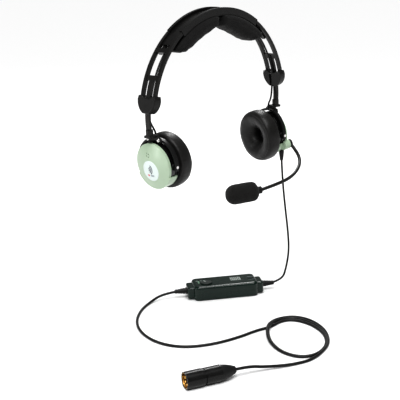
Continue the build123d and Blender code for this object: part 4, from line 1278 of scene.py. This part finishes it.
    def screws(self) -> None:
        """Two bright socket screws through the bracket, with their heads' recesses."""
        hexagon = 6
        head = bmesh.new()
        rings = []
        sizes = ((0.35, 0.001, hexagon), (0.35, 0.85, hexagon), (1.22, 0.85, hexagon), (1.22, 1.3, 24),
                 (1.02, 1.66, 24), (0.0, 1.8, 24), (0.0, 0.72, 24), (-5.6, 0.7, 24), (-5.6, 0.001, 24))
        segments = 24
        for x, radius, corners in sizes:
            ring = []
            for step in range(segments):
                turn = math.tau * step / segments
                flat = math.tau / corners
                sharp = math.cos(flat / 2) / math.cos((turn % flat) - flat / 2) if corners == hexagon else 1.0
                reach = radius * MM * sharp
                ring.append(head.verts.new((x * MM, reach * math.cos(turn), reach * math.sin(turn))))
            rings.append(ring)
        for low, high in zip(rings, rings[1:]):
            for step in range(segments):
                after = (step + 1) % segments
                head.faces.new((low[step], low[after], high[after], high[step]))
        for ring in (rings[0], rings[-1]):
            head.faces.new(ring)
        bmesh.ops.recalc_face_normals(head, faces=head.faces)
        data = bpy.data.meshes.new("screw_shape")
        head.to_mesh(data)
        head.free()
        shape = bpy.data.objects.new("screw_shape", data)
        bpy.context.scene.collection.objects.link(shape)
        height = math.sqrt(self.stirrup_middle ** 2 - self.screw_y ** 2)
        seats = [(self.plate_x + self.plate_thick, y, height) for y in (-self.screw_y, self.screw_y)]
        group = set_on_points(f"bracket_bolts_{self.side.word}", seats, shape, BRIGHT_STEEL)
        group.data.transform(self.yawed)
        if self.side is Side.RIGHT:
            group.data.flip_normals()
        settle(group, BRIGHT_STEEL, f"swivel_{self.side.word}", [f"bracket_screws_{self.side.word}"])

    def lead(self) -> None:
        """The lead beside the strap, which bends between the strap and the bracket."""
        sign = self.side.value
        route = ((102.9, 3.2, 69.0), (102.9, 3.2, 60.0), (102.1, 3.2, 52.0), (100.6, 2.6, 45.5), (97.4, 1.8, 39.0),
                 (94.9, 1.4, 34.5), (95.0, 1.2, 29.9))
        turned = [self.yawed @ Vector((x * MM, y * MM, z * MM)) if z < 35 else
                  Vector((sign * x * MM, y * MM, z * MM)) for x, y, z in route]
        tube = as_mesh(smooth_line(f"side_lead_{self.side.word}", [tuple(p) for p in turned], 1.1 * MM))
        tube.data.materials.clear()
        tube.data.materials.append(CORD_JACKET.material())
        for polygon in tube.data.polygons:
            polygon.use_smooth = True
        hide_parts(f"lead_tail_{self.side.word}")
        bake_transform(tube)

    def build(self) -> None:
        """Makes everything that the cup shows beyond its CAD nodes."""
        self.cushion()
        self.stitches()
        self.sound_cloth()
        self.badge()
        self.screws()
        self.lead()


# ---------- boom ----------
@dataclass
class Boom:
    """Gooseneck and foam windscreen."""

    route: tuple[Point, ...] = ((103.0, -33.0, -21.0), (97.5, -42.0, -27.0), (86.5, -50.5, -31.5),
                                (71.0, -57.5, -35.5), (53.0, -62.5, -38.0), (36.0, -64.0, -39.2),
                                (20.0, -61.5, -41.0), (8.5, -56.8, -43.2))
    thickness: float = 4.0 * MM
    direction: Vector = None
    foam_start: float = 5.0 * MM

    def __post_init__(self) -> None:
        """Works out the microphone's direction."""
        self.direction = Vector((-0.887, 0.458, -0.05)).normalized()

    def gooseneck(self) -> None:
        """Smooth stem along the boom's route."""
        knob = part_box("boom_pivot")
        middle = (knob[0] + knob[1]) / 2
        start = (middle.x + 3.0 * MM, middle.y - 2.5 * MM, middle.z - 2.0 * MM)
        points = [start] + [tuple(v * MM for v in p) for p in self.route]
        tube = as_mesh(smooth_line("boom_stem", points, self.thickness / 2))
        for polygon in tube.data.polygons:
            polygon.use_smooth = True
        tube.data.materials.clear()
        settle(tube, BOOM_SLEEVE, "boom", ["gooseneck"])

    def windscreen(self) -> None:
        """Foam sleeve with rounded ends and a slightly lumpy skin."""
        length, radius = 37.6 * MM, 11.2 * MM
        profile = [(0.0, 4.6 * MM), (0.0, 5.4 * MM)]
        for step in range(1, 9):
            turn = math.pi / 2 * step / 8
            profile.append((0.62 * radius * (1 - math.cos(turn)), radius - 0.62 * radius * (1 - math.sin(turn))))
        profile += [(x * MM, radius) for x in (9.5, 12.0, 14.5, 17.0, 19.5, 22.0, 24.5)]
        for step in range(1, 12):
            turn = math.pi / 2 * step / 12
            profile.append((length - 0.95 * radius * (1 - math.sin(turn)), radius * math.cos(turn) ** 0.85))
        profile += [(length, 0.0), (26.5 * MM, 0.0), (26.0 * MM, 5.3 * MM), (3.6 * MM, 5.3 * MM),
                    (3.4 * MM, 4.6 * MM)]
        mesh = lathe(profile, 96, True)
        for vertex in mesh.verts:
            reach = math.hypot(vertex.co.y, vertex.co.z)
            if reach > 5.6 * MM or vertex.co.x > 0.9 * length:
                lump = noise.noise(vertex.co * 210.0) * 0.34 + noise.noise(vertex.co * 700.0) * 0.16
                vertex.co += vertex.normal * lump * MM
        origin = Vector([v * MM for v in self.route[-1]]) + self.direction * self.foam_start
        turn = self.direction.to_track_quat("X", "Z").to_matrix().to_4x4()
        piece = add_piece("foam_windscreen", mesh, MIC_FOAM, "boom", Matrix.Translation(origin) @ turn,
                          ["windscreen"])
        smoother = piece.modifiers.new("smooth", "SUBSURF")
        smoother.levels = smoother.render_levels = 1

    def build(self) -> None:
        """Makes the boom's pieces."""
        self.gooseneck()
        self.windscreen()


# ---------- cords ----------
@dataclass
class Cords:
    """The two cords: cup to module, and module through a loose coil to the plug."""

    floor: float = -195.0
    upper_d: float = 2.6
    lower_d: float = 3.2
    upper_route: tuple[Point, ...] = ((98.6, -13.4, -30.5), (99.4, -13.8, -58.0), (102.0, -15.2, -92.0),
                                      (105.2, -16.8, -125.0), (104.8, -18.6, -150.0), (96.5, -20.4, -170.0),
                                      (87.5, -21.4, -183.0))
    coil_centre: tuple[float, float] = (-15.1, -124.3)
    coil_long: float = 55.7
    coil_short: float = 33.2
    coil_turn: float = 47.7
    coil_first: float = 58.0
    coil_turns: float = 2.52
    coil_steps: int = 15
    spread: float = 13.0

    @property
    def lying(self) -> float:
        """Height of the lower cord's middle where it lies on the floor."""
        return self.floor + self.lower_d / 2

    def to_module(self, node: str, inside: float) -> Point:
        """Point on the module's axis, inside the end of one strain relief.

        Args:
            node: The strain relief.
            inside: How far in, in millimetres.

        Returns:
            The point in millimetres.
        """
        low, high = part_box(node)
        turn = math.radians(-37.2)
        sign = 1 if node == "relief_upper" else -1
        reach = 39.5 + 7.5 + 15.0 - inside
        return (29.0 + sign * reach * math.cos(turn), 23.0 + sign * reach * math.sin(turn),
                (low.z + high.z) / 2 / MM)

    def coil(self) -> list[Point]:
        """Control points of the loose turns, which start inside and fan out."""
        points = []
        count = int(self.coil_turns * self.coil_steps)
        lean = math.radians(self.coil_turn)
        for step in range(count + 1):
            done = step / count
            angle = math.radians(self.coil_first - 360 * self.coil_turns * done)
            fan = 0.18 + 0.82 * max(0.0, math.cos(angle + math.radians(18))) ** 1.5
            inset = self.spread * (1 - done) * fan + 1.2 * math.sin(5.0 * done * math.tau) * 0.6
            x = (self.coil_long - inset) * math.cos(angle)
            y = (self.coil_short - inset) * math.sin(angle)
            lift = self.crossing(angle, done)
            points.append((self.coil_centre[0] + x * math.cos(lean) - y * math.sin(lean),
                           self.coil_centre[1] + x * math.sin(lean) + y * math.cos(lean), self.lying + lift))
        return points

    def crossing(self, angle: float, done: float) -> float:
        """How far a turn is raised where it lies over the first strand.

        Args:
            angle: Place round the coil in radians.
            done: How much of the coil has been laid, from 0 to 1.

        Returns:
            The rise in millimetres.
        """
        if done * self.coil_turns < 0.6:
            return 0.0
        gap = (math.degrees(angle) - 66.0 + 180) % 360 - 180
        return 4.3 * math.exp(-(gap / 26.0) ** 2)

    def lower_route(self) -> list[Point]:
        """Control points from the module to the plug, in millimetres."""
        low = self.lying
        out = [self.to_module("relief_lower", 3.0), (-32.5, 69.5, -187.5), (-49.0, 74.0, low), (-76.0, 63.5, low),
               (-103.0, 42.0, low), (-120.5, 13.0, low), (-126.0, -19.0, low), (-117.0, -47.0, low),
               (-92.0, -66.5, low), (-60.0, -77.0, low), (-33.0, -80.5, low)]
        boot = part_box("plug_boot")
        end = (-131.0 - 3 * 0.9154, -136.0 + 3 * 0.4026, (boot[0].z + boot[1].z) / 2 / MM)
        return out + self.coil() + [(-52.0, -173.5, low), (-76.0, -163.5, low), (-101.0, -149.5, low + 2.9),
                                    (-117.0, -142.1, -186.0), end]

    @staticmethod
    def length(piece: bpy.types.Object) -> float:
        """Length of a curve's own line, in metres."""
        depth = piece.data.bevel_depth
        piece.data.bevel_depth = 0.0
        view = bpy.context.evaluated_depsgraph_get()
        view.update()
        line = bpy.data.meshes.new_from_object(piece.evaluated_get(view), depsgraph=view)
        total = sum((line.vertices[e.vertices[0]].co - line.vertices[e.vertices[1]].co).length for e in line.edges)
        bpy.data.meshes.remove(line)
        piece.data.bevel_depth = depth
        return total

    def lay(self, name: str, route: Sequence[Point], diameter: float, replaces: Sequence[str], far_end: str,
            with_nodes: Sequence[str], length: float, lay: str) -> None:
        """One cord.

        Args:
            name: Its name.
            route: Its control points in millimetres.
            diameter: In millimetres.
            replaces: The CAD solids that it stands for.
            far_end: What is on its far end; not used.
            with_nodes: CAD nodes that are on it; not used.
            length: Its real length in metres; not used.
            lay: How it lies; not used.
        """
        points = [tuple(v * MM for v in p) for p in route]
        piece = smooth_line(name, points, diameter / 2 * MM)
        settle(piece, CORD_JACKET, "cup_left", replaces)
        LOG.info("%s measures %.4f m", name, self.length(piece))

    def build(self) -> None:
        """Lays both cords."""
        module = ("module_top", "module_bottom", "module_screws", "module_board", "volume_dial", "power_button",
                  "led_lenses", "relief_upper", "relief_lower")
        upper = self.upper_route + (self.to_module("relief_upper", 3.0),)
        self.lay("upper_cord", upper, self.upper_d, ["cord_upper"], "fitting", module, 0.170, "hanging")
        plug = ("plug_boot", "plug_sleeve", "plug_shell", "plug_lining", "plug_insert", "plug_contacts")
        self.lay("lower_cord", self.lower_route(), self.lower_d, ["cord_lower_a", "cord_coil", "cord_lower_b"],
                 "plug", plug, 1.1, "loose")


# ---------- control module ----------
@dataclass
class ControlModule:
    """What is printed on the module's lid. Its own frame has X along the case."""

    centre: Point = (29 * MM, 23 * MM, -195 * MM)
    turn: float = -37.2
    height: float = 18 * MM
    label: tuple[float, float] = (14.0 * MM, 2.0 * MM)
    label_size: tuple[float, float] = (11.0 * MM, 9.5 * MM)

    @property
    def place(self) -> Matrix:
        """From the module's own frame to its place."""
        return Matrix.Translation(self.centre) @ Matrix.Rotation(math.radians(self.turn), 4, "Z")

    def flat(self, point: Vector) -> Vector:
        """Lays a lid point, with its height in Z, on the lid."""
        return Vector((point.x, point.y, self.height + point.z))

    def mark(self, name: str, corners: Sequence[tuple[float, float]], finish: Finish) -> None:
        """One printed shape on the lid.

        Args:
            name: Its name.
            corners: Two opposite corners in millimetres.
            finish: Its ink.
        """
        (left, low), (right, high) = corners
        rows = [[Vector((x * MM, y * MM, 0)) for x in (left, right)] for y in (low, high)]
        mesh = grid_shell(rows, False, 0.04 * MM, self.flat)
        add_piece(name, mesh, finish, "cup_left", self.place)

    def build(self) -> None:
        """Prints the lid and the dial's index."""
        bars = scatter_bars("module_label", self.label_size, 9, 6, 7, INK_WHITE)
        bars.data.transform(Matrix.Translation((*self.label, self.height)))
        bars.data.transform(self.place)
        settle(bars, INK_WHITE, "cup_left")
        for low, high in ((-4.6, -4.25), (4.25, 4.6)):
            self.mark(f"button_line_{'near' if low < 0 else 'far'}", ((29.0, low), (37.0, high)), INK_GREY)
        for index, x in enumerate((-34.8, -29.4)):
            self.mark(f"light_mark_{index + 1}", ((x, 5.0), (x + 2.2, 5.5)), INK_WHITE)
        rows = [[Vector((x * MM, y * MM, 0)) for x in (1.2, 6.0)] for y in (-0.4, 0.4)]
        index = grid_shell(rows, False, 0.05 * MM, lambda p: self.flat(p) + Vector((0, 0, 1.4 * MM)))
        spin = Matrix.Translation((-23 * MM, -3.5 * MM, 0)) @ Matrix.Rotation(math.radians(118), 4, "Z")
        add_piece("dial_index", index, INK_WHITE, "volume_dial", self.place @ spin)


# ---------- studio ----------
@dataclass
class Studio:
    """Floor, lights and camera."""

    eye: Point = (-0.7736, -0.71812, 0.24519)
    right: Point = (0.68776, -0.72504, -0.03615)
    up: Point = (0.22697, 0.16746, 0.9594)
    lens: float = 85.26
    sensor: float = 36.0

    def floor(self) -> None:
        """Pale seamless floor."""
        size = 60.0
        level = CAD_BOX[0][2]
        mesh = bmesh.new()
        mesh.faces.new([mesh.verts.new((x * size, y * size, level)) for x, y in ((-1, -1), (1, -1), (1, 1), (-1, 1))])
        data = bpy.data.meshes.new("floor")
        mesh.to_mesh(data)
        mesh.free()
        floor = bpy.data.objects.new("floor", data)
        bpy.context.scene.collection.objects.link(floor)
        data.materials.append(Ink("floor_paper", (0.93, 0.93, 0.93, 1.0), 0.85).material())

    def lamp(self, name: str, place: Point, aim: Point, power: float, size: tuple[float, float]) -> None:
        """One soft rectangular light.

        Args:
            name: Its name.
            place: Where it stands.
            aim: What it points at.
            power: In watts.
            size: Width and height.
        """
        light = bpy.data.lights.new(name, "AREA")
        light.shape = "RECTANGLE"
        light.size, light.size_y = size
        light.energy = power
        lamp = bpy.data.objects.new(name, light)
        lamp.location = place
        lamp.rotation_euler = (Vector(aim) - Vector(place)).to_track_quat("-Z", "Y").to_euler()
        bpy.context.scene.collection.objects.link(lamp)

    def sky(self, strength: float, spread: float) -> None:
        """Broad light from above, which keeps the floor evenly pale to its far edge.

        Args:
            strength: In watts per square metre.
            spread: Its angular width in degrees.
        """
        light = bpy.data.lights.new("sky", "SUN")
        light.energy = strength
        light.angle = math.radians(spread)
        lamp = bpy.data.objects.new("sky", light)
        lamp.rotation_euler = (math.radians(16), math.radians(-14), 0.0)
        bpy.context.scene.collection.objects.link(lamp)

    def camera(self) -> None:
        """Long lens from the front right of the wearer, slightly above."""
        data = bpy.data.cameras.new("camera")
        data.lens = self.lens
        data.sensor_width = self.sensor
        eye = bpy.data.objects.new("camera", data)
        right, up = Vector(self.right), Vector(self.up)
        back = right.cross(up)
        turn = Matrix((right, up, back)).transposed().to_4x4()
        eye.matrix_world = Matrix.Translation(self.eye) @ turn
        bpy.context.scene.collection.objects.link(eye)
        bpy.context.scene.camera = eye

    def build(self) -> None:
        """Sets the studio up."""
        self.floor()
        self.sky(2.7, 40.0)
        self.lamp("key", (-1.0, -0.75, 1.15), (0.0, 0.0, -0.02), 9.0, (0.4, 0.4))
        self.lamp("rim", (0.75, 0.55, 0.95), (0.0, 0.0, 0.03), 8.0, (0.16, 0.9))
        self.lamp("side", (-1.15, 0.55, 0.3), (0.0, 0.0, -0.02), 4.0, (0.09, 1.1))
        self.camera()
        world = bpy.data.worlds.new("studio")
        world.use_nodes = True
        bench = Bench(world.node_tree)
        glow = bench.node("ShaderNodeBackground", {}, {"Color": (1.0, 1.0, 1.0, 1.0), "Strength": 0.2})
        bench.node("ShaderNodeOutputWorld", {}, {"Surface": glow})
        scene = bpy.context.scene
        scene.world = world
        scene.view_settings.view_transform = "Standard"
        scene.view_settings.look = "Medium High Contrast"


def dress_nodes() -> None:
    """Gives every CAD node that still shows its finish."""
    for finish, names in NODE_FINISHES.items():
        for name in names:
            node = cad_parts[name]
            node.data.materials.clear()
            node.data.materials.append(finish.material())
            for polygon in node.data.polygons:
                polygon.material_index = 0


def main() -> None:
    """Builds the headset's looks and the studio."""
    logging.basicConfig(level=logging.INFO, format="%(name)s: %(message)s")
    dress_nodes()
    Cords().build()
    Headband().build()
    EarCup(Side.RIGHT, yaw=0.0, tilt=-6.0).build()
    EarCup(Side.LEFT, yaw=12.0, tilt=6.0).build()
    Boom().build()
    ControlModule().build()
    Studio().build()
    bpy.context.view_layer.update()


if __name__ == "__main__":
    main()
